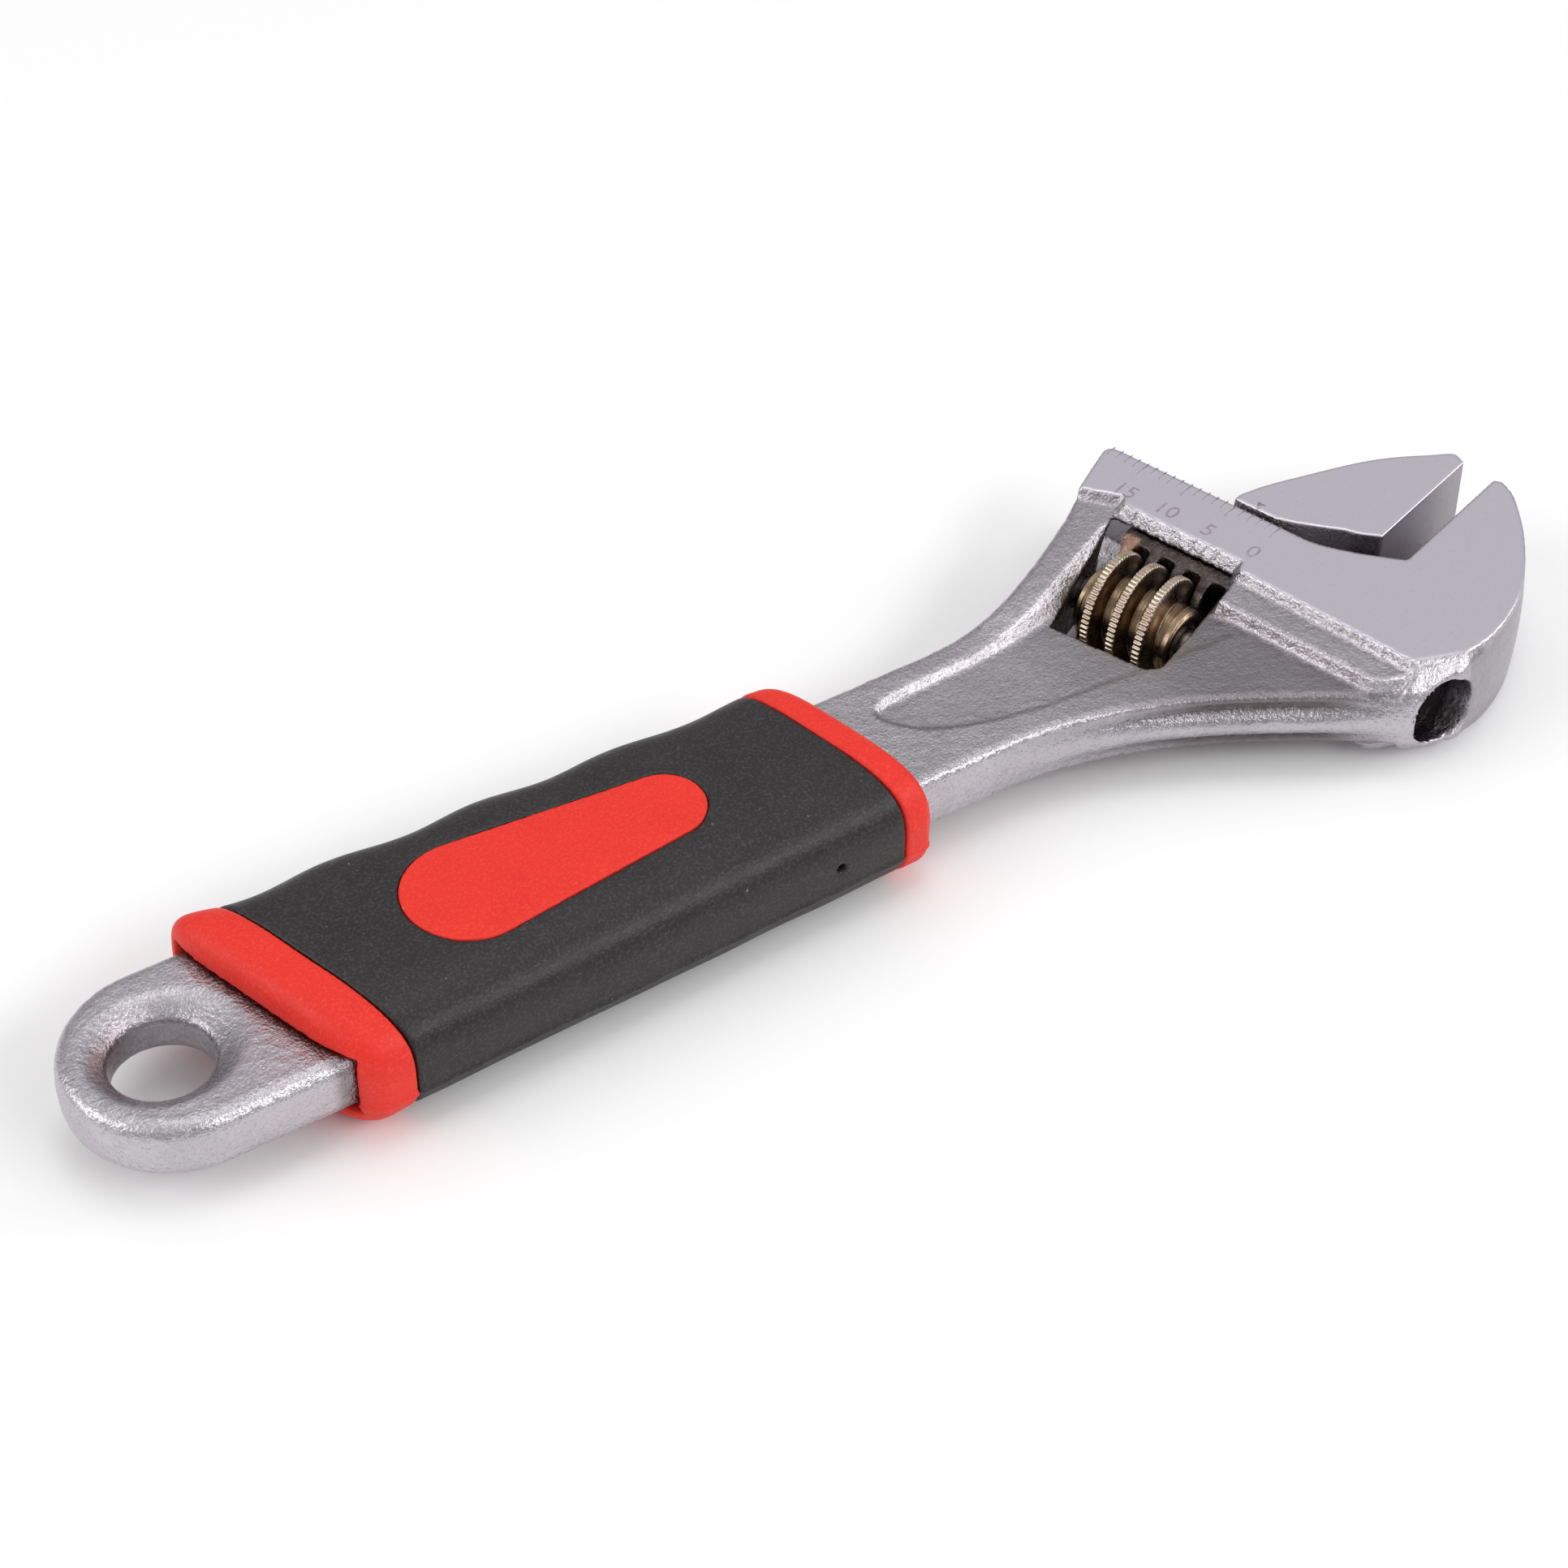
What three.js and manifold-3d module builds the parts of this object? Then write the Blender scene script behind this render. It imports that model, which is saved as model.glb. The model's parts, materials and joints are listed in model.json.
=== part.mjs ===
// Adjustable wrench with a soft grip, built piece by piece in millimetres.
//
// Two frames lie in the wrench's middle plane (z = 0 while building):
//   handle frame: x runs along the handle towards the head, y across it
//   jaw frame:    x (called s) runs along the jaw's slide towards the fixed jaw,
//                 y (called j) runs from the worm towards the jaw tips
// The jaw frame's origin is the zero of the scale on the rail.
// At the end the whole wrench is set down on z = 0 with its box centred over the origin.

import * as THREE from 'three';
import { mergeVertices } from 'three/addons/utils/BufferGeometryUtils.js';
import Module from 'manifold-3d';

const wasm = await Module();
wasm.setup();

// ---------- driving dimensions ----------

// overall
const JAW_ANGLE = 18.3; // degrees between the handle and the jaw faces
const SCALE_ZERO_Y = 1.6; // scale zero above the handle's axis
const HEAD_THICKNESS = 10.4; // across the ground flats
const SHOULDER_DROP = 1; // from the flats to the step beside them
const SHANK_THICKNESS = 5.8;
const SHANK_WIDTH = 14.6; // in front of the grip
const NECK_X = -35; // where the shank begins to widen into the head
const TAIL_WIDTH = 19.6;
const TAIL_LENGTH = 7.5; // from the grip to the centre of the round tail end
const EDGE_ROUNDING = 0.9; // forged edges of the shank and tail
const POCKET_DEPTH = 0.45; // shallow pocket between the shank and the window

// tail hole
const HANG_HOLE_RADIUS = 4.4;
const HANG_HOLE_OFFSET = 1.2; // behind the centre of the tail's round end
const DISH_RADIUS = 6.7;
const DISH_DEPTH = 1.4;

// jaws and rail
const OPENING = 3.3; // between the jaw faces at rest
const CAPACITY = 19; // widest opening, which the scale and the rail's length follow
const FIXED_FACE_S = 11.3; // fixed jaw's face
const RAIL_J = 1.4; // front edge of the rail, on which the jaw slides
const RAIL_INNER_J = -6.3; // edge of the rail beside the worm
const RAIL_ROUNDING = 1.4; // of the rail's back corner
const JAW_REACH = 20.3; // jaw tips above the scale zero
const TIP_BEVEL = 0.4;
const JAW_LENGTH = 14.1; // of the movable jaw, behind its face
const JAW_FOOT = 12.2; // length of the movable jaw's web along the slide
const FIXED_JAW_DEPTH = 12.5; // from its face to the outer edge
const SLIDE_CLEARANCE = 0.2;

// rod of the movable jaw and its bore
const ROD_RADIUS = 3.5;
const ROD_J = -6.0;
const ROD_LENGTH = 29.2;
const ROD_OVERHANG = 6.1; // of the rod behind the movable jaw
const WEB_THICKNESS = 3.6;
const ROD_CLEARANCE = 0.2;

// worm
const WORM_RADIUS = 5.6;
const THREAD_DEPTH = 2.15;
const WORM_PITCH = 2.87;
const WORM_CREST = 1.0; // width of the thread's crest
const WORM_FLANK = 0.25; // each sloping flank, along the axis
const THREAD_START_S = -10.3;
const THREAD_END_S = -1.3;
const HUB_STEP = 0.15; // from the thread's root down to the hub
const HUB_LENGTH = 0.7;
const CREST_S = -9.56; // a crest's place where it faces the rod
const MESH_CLEARANCE = 0.25;

// pin and spring of the worm
const PIN_RADIUS = 1.5;
const PIN_HEAD_RADIUS = 2.1;
const PIN_HEAD_LENGTH = 3.4;
const PIN_SHELF = 0.8; // wall left between the head and the window
const PIN_END_S = 4.8;
const PIN_CLEARANCE = 0.2;
const SLOT_WIDTH = 0.7;
const SLOT_DEPTH = 0.9;
const SPRING_RADIUS = 2.25;
const SPRING_WIRE_RADIUS = 0.3;
const SPRING_TURNS = 3.5;
const SPRING_CLEARANCE = 0.3;
const COUNTERBORE_RADIUS = 2.8;
const COUNTERBORE_DEPTH = 3.3;

// window in the head that holds the worm
const WINDOW_GAP = 2.1; // between the worm's near side and the window's edge
const WINDOW_BACK_S = -13.8;
const WINDOW_FRONT_S = -0.5;
const WINDOW_LEAN_BACK = 3.5; // shift of the back wall along its length
const WINDOW_LEAN_FRONT = 1.8;

// grip
const GRIP_WALL = 3; // over the shank's faces
const GRIP_FRONT_X = -47.8; // on the handle's axis
const GRIP_LENGTH = 58.3;
const GRIP_REAR_WALL = 2.1; // beside the shank's edges
const GRIP_FRONT_WALL = 2.7;
const GRIP_REAR_SLANT = 17; // degrees that the ends lean from square
const GRIP_FRONT_SLANT = 14;
const GRIP_ROUNDING = 4.2;
const GRIP_END_ROUNDING = 2.4;
const REAR_COLLAR_WIDTH = 5.1;
const FRONT_COLLAR_WIDTH = 3.4;
const WAVE_HEIGHT = 0.35; // finger waves on the far edge
const WAVE_PITCH = 13.7;
const WAVE_START = 12.1; // from the grip's rear end to a crest
const GRIP_CLEARANCE = 0.3;
const COLLAR_GAP = 0.2;
const BADGE_START = 14.1; // from the grip's rear end
const BADGE_LENGTH = 28.6;
const BADGE_REAR_RADIUS = 5.9;
const BADGE_FRONT_RADIUS = 3.9;
const BADGE_THICKNESS = 0.8;
const BADGE_GAP = 0.15;

// smoothness of curved faces
const ROUND_STEPS = 48;
const CURVE_STEPS = 10;
const THREAD_STEPS = 40;
const RING_SPACING = 0.2;
const CORNER_STEPS = 5;
const END_STEPS = 5;
const WAVE_STEPS = 28;

// how far a cutter runs past the face it cuts
const PAST = 1;

// ---------- colours ----------

const CHROME = { color: 0xb9b6bd, roughness: 0.35, metalness: 0.9 };
const GROUND_STEEL = { color: 0xb4b1b8, roughness: 0.45, metalness: 0.9 };
const BRONZE = { color: 0x8f7f66, roughness: 0.4, metalness: 0.9 };
const SPRING_STEEL = { color: 0x8a8a8c, roughness: 0.4, metalness: 0.9 };
const BLACK_RUBBER = { color: 0x2d2a2b, roughness: 0.6, metalness: 0 };
const RED_RUBBER = { color: 0xf03c32, roughness: 0.6, metalness: 0 };

// ---------- geometry helpers ----------

const jawTurn = THREE.MathUtils.degToRad(JAW_ANGLE - 90);
const jawFrame = new THREE.Matrix4()
  .makeRotationZ(jawTurn)
  .setPosition(0, SCALE_ZERO_Y, 0);

// the handle-frame point of a jaw-frame point
function fromJaw(s, j) {
  const point = new THREE.Vector3(s, j, 0).applyMatrix4(jawFrame);
  return new THREE.Vector2(point.x, point.y);
}

function toSolid(geometry) {
  const bare = geometry.clone();
  bare.deleteAttribute('normal');
  bare.deleteAttribute('uv');
  const merged = mergeVertices(bare, 1e-4);
  return new wasm.Manifold(new wasm.Mesh({
    numProp: 3,
    vertProperties: new Float32Array(merged.attributes.position.array),
    triVerts: new Uint32Array(merged.index.array),
  }));
}

function toGeometry(body) {
  const mesh = body.getMesh();
  const points = new Float32Array(mesh.numVert * 3);
  for (let i = 0; i < mesh.numVert; i += 1) {
    for (let axis = 0; axis < 3; axis += 1) {
      points[3 * i + axis] = mesh.vertProperties[mesh.numProp * i + axis];
    }
  }
  const geometry = new THREE.BufferGeometry();
  geometry.setAttribute('position', new THREE.BufferAttribute(points, 3));
  geometry.setIndex(new THREE.BufferAttribute(new Uint32Array(mesh.triVerts), 1));
  geometry.computeVertexNormals();
  return geometry;
}

// a plate of the outline, centred on the middle plane, with its top and bottom edges rounded
function plate(shape, thickness, rounding = 0, roundSteps = 3) {
  const geometry = new THREE.ExtrudeGeometry(shape, {
    depth: thickness - 2 * rounding,
    curveSegments: CURVE_STEPS,
    bevelEnabled: rounding > 0,
    bevelThickness: rounding,
    bevelSize: rounding,
    bevelOffset: -rounding,
    bevelSegments: roundSteps,
  });
  geometry.translate(0, 0, -(thickness - 2 * rounding) / 2);
  return geometry;
}

function polygon(points) {
  return new THREE.Shape(points.map(([x, y]) => new THREE.Vector2(x, y)));
}

// a cylinder along s from one place to another, at height j over the scale zero
function rodAlong(radius, fromS, toS, j) {
  const length = toS - fromS;
  const geometry = new THREE.CylinderGeometry(radius, radius, length, ROUND_STEPS);
  geometry.rotateZ(-Math.PI / 2);
  geometry.translate(fromS + length / 2, j, 0);
  return geometry;
}

function box(fromS, toS, fromJ, toJ, thickness) {
  const geometry = new THREE.BoxGeometry(toS - fromS, toJ - fromJ, thickness);
  geometry.translate((fromS + toS) / 2, (fromJ + toJ) / 2, 0);
  return geometry;
}

// a jaw-frame geometry as a solid of the handle frame
function solidInHandle(geometry) {
  return toSolid(geometry.applyMatrix4(jawFrame));
}

function meshOf(name, geometry, finish) {
  const mesh = new THREE.Mesh(geometry, new THREE.MeshStandardMaterial(finish));
  mesh.name = name;
  return mesh;
}

// ---------- values that several pieces share ----------

const SHOULDER_THICKNESS = HEAD_THICKNESS - 2 * SHOULDER_DROP;
const RAIL_BACK_S = FIXED_FACE_S - CAPACITY - JAW_FOOT;
const MOVABLE_FACE_S = FIXED_FACE_S - OPENING;
const JAW_BACK_S = MOVABLE_FACE_S - JAW_LENGTH;
const ROD_BACK_S = JAW_BACK_S - ROD_OVERHANG;
const BORE_RADIUS = ROD_RADIUS + ROD_CLEARANCE;
const THROAT_RISE = 3.3; // from the rail's edge to the foot of the fixed jaw's face
const THROAT_LENGTH = 8.3;
const WORM_ROOT_RADIUS = WORM_RADIUS - THREAD_DEPTH;
const HUB_RADIUS = WORM_ROOT_RADIUS - HUB_STEP;
const WORM_J = ROD_J - ROD_RADIUS - MESH_CLEARANCE - WORM_ROOT_RADIUS;
const WORM_BACK_S = THREAD_START_S - HUB_LENGTH;
const WORM_FRONT_S = THREAD_END_S + HUB_LENGTH;
const WINDOW_NEAR_J = WORM_J - WORM_RADIUS - WINDOW_GAP;
const GRIP_THICKNESS = SHANK_THICKNESS + 2 * GRIP_WALL;
const GRIP_REAR_X = GRIP_FRONT_X - GRIP_LENGTH;
const GRIP_REAR_HALF = TAIL_WIDTH / 2 + GRIP_REAR_WALL;
const GRIP_FRONT_HALF = SHANK_WIDTH / 2 + GRIP_FRONT_WALL;
const TAIL_CENTRE_X = GRIP_REAR_X - TAIL_LENGTH;

// the place along s of the window's leaning back wall, at a given j
function windowBackAt(j) {
  const share = (RAIL_INNER_J - j) / (RAIL_INNER_J - WINDOW_NEAR_J);
  return WINDOW_BACK_S + share * WINDOW_LEAN_BACK;
}

// ---------- forged body with its fixed jaw ----------

const FLATS_STEP = 0.4; // the flats end this far inside the edges round them

// the outer edge runs from the near corner of the head round to the fixed jaw's tip;
// each point is a distance inside the outermost line and a height, which above the rail
// is a share of the jaw's reach
const NEAR_CORNER = [[4.6, -11.4], [2.4, -9.6], [0.8, -7], [0, -3.6], [0, 0.4]];
const FIXED_JAW_BACK = [[0.9, 0.27], [2.6, 0.49], [5.6, 0.73], [8.9, 0.92]];
const OUTER_S = FIXED_FACE_S + FIXED_JAW_DEPTH;
const TIP_FLAT = 2; // width of the fixed jaw's tip

function nearCornerPoint([inside, j]) {
  return fromJaw(OUTER_S - inside, j);
}

function fixedJawBack(inset) {
  const points = FIXED_JAW_BACK.map(([inside, share]) => (
    fromJaw(OUTER_S - inside - inset, share * JAW_REACH)
  ));
  return [...points, fromJaw(FIXED_FACE_S + TIP_FLAT, JAW_REACH - TIP_BEVEL)];
}

function headOuterEdge(shape) {
  const corner = NEAR_CORNER.map(nearCornerPoint);
  shape.lineTo(corner[0].x, corner[0].y);
  shape.splineThru([...corner.slice(1), ...fixedJawBack(0)]);
}

// the fixed jaw's tip and face, the throat and the rail's front edge
function throatEdge(shape) {
  const tip = fromJaw(FIXED_FACE_S + TIP_FLAT / 2, JAW_REACH);
  const faceTop = fromJaw(FIXED_FACE_S, JAW_REACH - TIP_BEVEL);
  const faceFoot = fromJaw(FIXED_FACE_S, RAIL_J + THROAT_RISE);
  const throatMid = fromJaw(FIXED_FACE_S - 0.65 * THROAT_LENGTH, RAIL_J + 0.12 * THROAT_RISE);
  const throatEnd = fromJaw(FIXED_FACE_S - THROAT_LENGTH, RAIL_J);
  shape.lineTo(tip.x, tip.y);
  shape.lineTo(faceTop.x, faceTop.y);
  shape.lineTo(faceFoot.x, faceFoot.y);
  shape.quadraticCurveTo(throatMid.x, throatMid.y, throatEnd.x, throatEnd.y);
}

// the rail's front edge to its back corner
function railEdge(shape) {
  const corner = fromJaw(RAIL_BACK_S, RAIL_J);
  const before = fromJaw(RAIL_BACK_S + RAIL_ROUNDING, RAIL_J);
  const after = fromJaw(RAIL_BACK_S, RAIL_J - RAIL_ROUNDING);
  shape.lineTo(before.x, before.y);
  shape.quadraticCurveTo(corner.x, corner.y, after.x, after.y);
}

function bodyOutline() {
  const half = SHANK_WIDTH / 2;
  const tail = TAIL_WIDTH / 2;
  const shape = new THREE.Shape();
  shape.moveTo(TAIL_CENTRE_X, tail);
  shape.absarc(TAIL_CENTRE_X, 0, tail, Math.PI / 2, 1.5 * Math.PI, false);
  shape.lineTo(GRIP_REAR_X + REAR_COLLAR_WIDTH, -tail);
  shape.lineTo(GRIP_FRONT_X, -half);
  shape.lineTo(NECK_X, -half);
  const corner = nearCornerPoint(NEAR_CORNER[0]);
  shape.bezierCurveTo(NECK_X + 11, -half - 0.6, corner.x - 10, corner.y + 6, corner.x, corner.y);
  headOuterEdge(shape);
  throatEdge(shape);
  railEdge(shape);
  shape.bezierCurveTo(NECK_X + 19, 2 * half, NECK_X + 11, half + 0.2, NECK_X - 1, half);
  shape.lineTo(GRIP_FRONT_X, half);
  shape.lineTo(GRIP_REAR_X + REAR_COLLAR_WIDTH, tail);
  return shape;
}

// the ground flats: rail and fixed jaw
function flatsOutline() {
  const shape = new THREE.Shape();
  const innerJ = RAIL_INNER_J + FLATS_STEP;
  const start = fromJaw(RAIL_BACK_S + FLATS_STEP, innerJ);
  const windowBack = fromJaw(WINDOW_BACK_S, innerJ);
  const windowFront = fromJaw(WINDOW_FRONT_S, innerJ);
  const stepFoot = fromJaw(WINDOW_FRONT_S + 1.6, RAIL_INNER_J - FLATS_STEP);
  const nearCorner = fromJaw(OUTER_S - 4.2, RAIL_INNER_J - 3 * FLATS_STEP);
  shape.moveTo(start.x, start.y);
  shape.lineTo(windowBack.x, windowBack.y);
  shape.lineTo(windowFront.x, windowFront.y);
  shape.lineTo(stepFoot.x, stepFoot.y);
  shape.lineTo(nearCorner.x, nearCorner.y);
  const edge = [[1.9, -4.4], [0.9, -0.6]].map(nearCornerPoint);
  shape.splineThru([...edge, ...fixedJawBack(2 * FLATS_STEP)]);
  throatEdge(shape);
  railEdge(shape);
  return shape;
}

// the step between the flats and the web, from the window to the bore's exit
function stripOutline() {
  const lower = ROD_J - BORE_RADIUS - 2 * FLATS_STEP;
  const points = [
    [WINDOW_FRONT_S + FLATS_STEP, RAIL_INNER_J + 2],
    [WINDOW_FRONT_S + 3 * FLATS_STEP, lower],
    [OUTER_S - 6.8, lower - FLATS_STEP],
    [OUTER_S - 3.2, RAIL_INNER_J - 3.7],
    [OUTER_S - 1.4, RAIL_INNER_J - 0.9],
    [OUTER_S - 0.6, RAIL_INNER_J + 2.7],
    [OUTER_S - 1.2, 0],
  ];
  return new THREE.Shape(points.map(([s, j]) => fromJaw(s, j)));
}

// the raised border behind the window
function borderOutline() {
  const half = SHANK_WIDTH / 2;
  const corner = fromJaw(RAIL_BACK_S, RAIL_J - RAIL_ROUNDING);
  const inner = fromJaw(WINDOW_BACK_S + 1, RAIL_INNER_J + 1.5);
  const windowEdge = fromJaw(WINDOW_BACK_S, RAIL_INNER_J - 1);
  const end = NECK_X + 4;
  const shape = new THREE.Shape();
  shape.moveTo(corner.x, corner.y);
  shape.bezierCurveTo(end + 15.4, 2 * half - 0.4, end + 8.5, half + 1.2, end, half - 0.2);
  shape.lineTo(end, half - 1.6);
  shape.quadraticCurveTo(end + 6, half - 1.4, end + 12.4, half + 2);
  shape.lineTo(windowEdge.x, windowEdge.y);
  shape.lineTo(inner.x, inner.y);
  return shape;
}

// the shallow pocket that runs from the shank to the window, on each side
function pocketOutline() {
  const half = SHANK_WIDTH / 2;
  const start = NECK_X - 6.5;
  const end = fromJaw(windowBackAt(WORM_J), WORM_J);
  const shape = new THREE.Shape();
  shape.moveTo(start, half - 3);
  shape.quadraticCurveTo(start - 3.1, half - 3.6, start - 1.9, half - 6.4);
  shape.quadraticCurveTo(start + 0.5, 3.9 - half, start + 11.5, 2.5 - half);
  shape.lineTo(end.x, 1.5 - half);
  shape.lineTo(end.x, half - 1.3);
  shape.lineTo(NECK_X + 10.5, half - 2.2);
  shape.quadraticCurveTo(NECK_X + 3, half - 2.9, start, half - 3);
  return shape;
}

function windowOutline() {
  const points = [
    [WINDOW_BACK_S, RAIL_INNER_J],
    [WINDOW_BACK_S + WINDOW_LEAN_BACK, WINDOW_NEAR_J],
    [WINDOW_FRONT_S + WINDOW_LEAN_FRONT - 1, WINDOW_NEAR_J],
    [WINDOW_FRONT_S + WINDOW_LEAN_FRONT, WINDOW_NEAR_J + 1],
    [WINDOW_FRONT_S, RAIL_INNER_J],
  ];
  return polygon(points);
}

function hangHoleCutter() {
  const face = SHANK_THICKNESS / 2;
  const profile = [
    [0, -face - PAST],
    [DISH_RADIUS + PAST, -face - PAST],
    [DISH_RADIUS, -face],
    [HANG_HOLE_RADIUS, -face + DISH_DEPTH],
    [HANG_HOLE_RADIUS, face - DISH_DEPTH],
    [DISH_RADIUS, face],
    [DISH_RADIUS + PAST, face + PAST],
    [0, face + PAST],
  ].map(([r, z]) => new THREE.Vector2(r, z));
  const geometry = new THREE.LatheGeometry(profile, ROUND_STEPS);
  geometry.rotateX(Math.PI / 2);
  geometry.translate(TAIL_CENTRE_X - HANG_HOLE_OFFSET, 0, 0);
  return geometry;
}

function pocketCutter(side) {
  const geometry = plate(pocketOutline(), 2 * PAST);
  geometry.translate(0, 0, side * (SHANK_THICKNESS / 2 - POCKET_DEPTH + PAST));
  return toSolid(geometry);
}

function makeBody() {
  const throughHead = HEAD_THICKNESS + 2 * PAST;
  const headBack = RAIL_BACK_S - 4 * PAST;
  const headFront = OUTER_S + 4 * PAST;
  const slotEnd = JAW_BACK_S + JAW_FOOT + OPENING + SLIDE_CLEARANCE;
  let body = toSolid(plate(bodyOutline(), SHANK_THICKNESS, EDGE_ROUNDING, 2));
  body = body.add(toSolid(plate(flatsOutline(), HEAD_THICKNESS)));
  body = body.add(toSolid(plate(stripOutline(), SHOULDER_THICKNESS)));
  body = body.add(toSolid(plate(borderOutline(), SHOULDER_THICKNESS)));
  body = body.subtract(pocketCutter(1)).subtract(pocketCutter(-1));
  body = body.subtract(solidInHandle(plate(windowOutline(), throughHead)));
  body = body.subtract(solidInHandle(rodAlong(BORE_RADIUS, headBack, headFront, ROD_J)));
  const slot = WEB_THICKNESS + 2 * ROD_CLEARANCE;
  const slotTop = RAIL_J + THROAT_RISE + PAST;
  body = body.subtract(solidInHandle(box(headBack, slotEnd, ROD_J, slotTop, slot)));
  const pinHole = PIN_RADIUS + PIN_CLEARANCE;
  const pinHoleEnd = PIN_END_S + 2 * PIN_CLEARANCE;
  body = body.subtract(solidInHandle(rodAlong(pinHole, headBack, pinHoleEnd, WORM_J)));
  const headHole = PIN_HEAD_RADIUS + PIN_CLEARANCE;
  const headHoleEnd = pinShoulderS() + PIN_CLEARANCE;
  body = body.subtract(solidInHandle(rodAlong(headHole, headBack, headHoleEnd, WORM_J)));
  body = body.subtract(toSolid(hangHoleCutter()));
  return meshOf('body', toGeometry(body), CHROME);
}

// ---------- movable jaw ----------

// the back edge from the tip down to the foot, as shares of the jaw's length and reach
const JAW_BACK_EDGE = [[0.12, 1.02], [0.33, 0.9], [0.55, 0.72], [0.79, 0.44], [0.92, 0.276], [1, 0.143]];

function jawOutline() {
  const foot = RAIL_J + SLIDE_CLEARANCE;
  const shape = new THREE.Shape();
  shape.moveTo(JAW_BACK_S, foot);
  shape.lineTo(JAW_BACK_S + 5, foot);
  shape.quadraticCurveTo(JAW_BACK_S + 7, foot + 0.3, MOVABLE_FACE_S, foot + THROAT_RISE + 1);
  shape.lineTo(MOVABLE_FACE_S, JAW_REACH);
  shape.lineTo(MOVABLE_FACE_S - 2 * TIP_BEVEL, JAW_REACH + TIP_BEVEL);
  const curve = JAW_BACK_EDGE.map(([along, share]) => (
    new THREE.Vector2(MOVABLE_FACE_S - along * JAW_LENGTH, share * JAW_REACH)
  ));
  shape.splineThru(curve);
  return shape;
}

// one gap between two teeth of the rack
function rackGap(centreS) {
  const floor = WORM_J + WORM_RADIUS + MESH_CLEARANCE;
  const mouth = ROD_J - ROD_RADIUS - PAST;
  const floorHalf = WORM_CREST / 2 + 1.2 * MESH_CLEARANCE;
  const mouthHalf = floorHalf + WORM_FLANK;
  const gap = plate(polygon([
    [centreS - mouthHalf, mouth],
    [centreS + mouthHalf, mouth],
    [centreS + floorHalf, floor],
    [centreS - floorHalf, floor],
  ]), 4 * ROD_RADIUS);
  return toSolid(gap);
}

function makeMovableJaw() {
  let jaw = toSolid(plate(jawOutline(), HEAD_THICKNESS));
  const webTop = RAIL_J + THROAT_RISE;
  const web = box(JAW_BACK_S + 0.5, JAW_BACK_S + JAW_FOOT, ROD_J, webTop, WEB_THICKNESS);
  jaw = jaw.add(toSolid(web));
  jaw = jaw.add(toSolid(rodAlong(ROD_RADIUS, ROD_BACK_S, ROD_BACK_S + ROD_LENGTH, ROD_J)));
  const first = Math.ceil((ROD_BACK_S - WORM_CREST - CREST_S) / WORM_PITCH);
  const last = Math.floor((ROD_BACK_S + ROD_LENGTH + WORM_CREST - CREST_S) / WORM_PITCH);
  for (let k = first; k <= last; k += 1) {
    jaw = jaw.subtract(rackGap(CREST_S + k * WORM_PITCH));
  }
  return meshOf('movable_jaw', toGeometry(jaw), GROUND_STEEL);
}

// ---------- worm, its pin and its spring ----------

// distance from the thread's surface to the axis; the thread is right-handed
function wormRadius(s, angle) {
  if (s < THREAD_START_S || s > THREAD_END_S) return HUB_RADIUS;
  const turns = (s - CREST_S) / WORM_PITCH - angle / (2 * Math.PI);
  const fromCrest = Math.abs(turns - Math.round(turns)) * WORM_PITCH;
  const rise = (WORM_CREST / 2 + WORM_FLANK - fromCrest) / WORM_FLANK;
  const height = THREE.MathUtils.clamp(rise, 0, 1);
  return WORM_ROOT_RADIUS + height * (WORM_RADIUS - WORM_ROOT_RADIUS);
}

function makeWorm() {
  const length = WORM_FRONT_S - WORM_BACK_S;
  const rings = Math.round(length / RING_SPACING);
  const geometry = new THREE.CylinderGeometry(1, 1, length, THREAD_STEPS, rings);
  geometry.rotateZ(-Math.PI / 2);
  geometry.translate((WORM_BACK_S + WORM_FRONT_S) / 2, 0, 0);
  const place = geometry.attributes.position;
  for (let i = 0; i < place.count; i += 1) {
    const onAxis = Math.hypot(place.getY(i), place.getZ(i)) < 0.5;
    const angle = Math.atan2(place.getZ(i), place.getY(i));
    const radius = onAxis ? 0 : wormRadius(place.getX(i), angle);
    place.setXYZ(i, place.getX(i), WORM_J + radius * Math.cos(angle), radius * Math.sin(angle));
  }
  const bore = rodAlong(PIN_RADIUS + PIN_CLEARANCE, WORM_BACK_S - PAST, WORM_FRONT_S + PAST, WORM_J);
  const seatEnd = WORM_BACK_S + COUNTERBORE_DEPTH;
  const seat = rodAlong(COUNTERBORE_RADIUS, WORM_BACK_S - PAST, seatEnd, WORM_J);
  const worm = toSolid(geometry).subtract(toSolid(bore)).subtract(toSolid(seat));
  return meshOf('worm', toGeometry(worm), BRONZE);
}

// where the pin's head ends and its thin part begins, short of the window's back wall
function pinShoulderS() {
  return windowBackAt(WORM_J) - PIN_SHELF;
}

function makePin() {
  const shoulder = pinShoulderS();
  const back = shoulder - PIN_HEAD_LENGTH;
  let pin = toSolid(rodAlong(PIN_RADIUS, shoulder - PAST, PIN_END_S, WORM_J));
  pin = pin.add(toSolid(rodAlong(PIN_HEAD_RADIUS, back, shoulder, WORM_J)));
  const slotTop = WORM_J + PIN_HEAD_RADIUS + PAST;
  const slotFoot = WORM_J - PIN_HEAD_RADIUS - PAST;
  const slot = box(back - PAST, back + SLOT_DEPTH, slotFoot, slotTop, SLOT_WIDTH);
  return meshOf('worm_pin', toGeometry(pin.subtract(toSolid(slot))), SPRING_STEEL);
}

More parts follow.
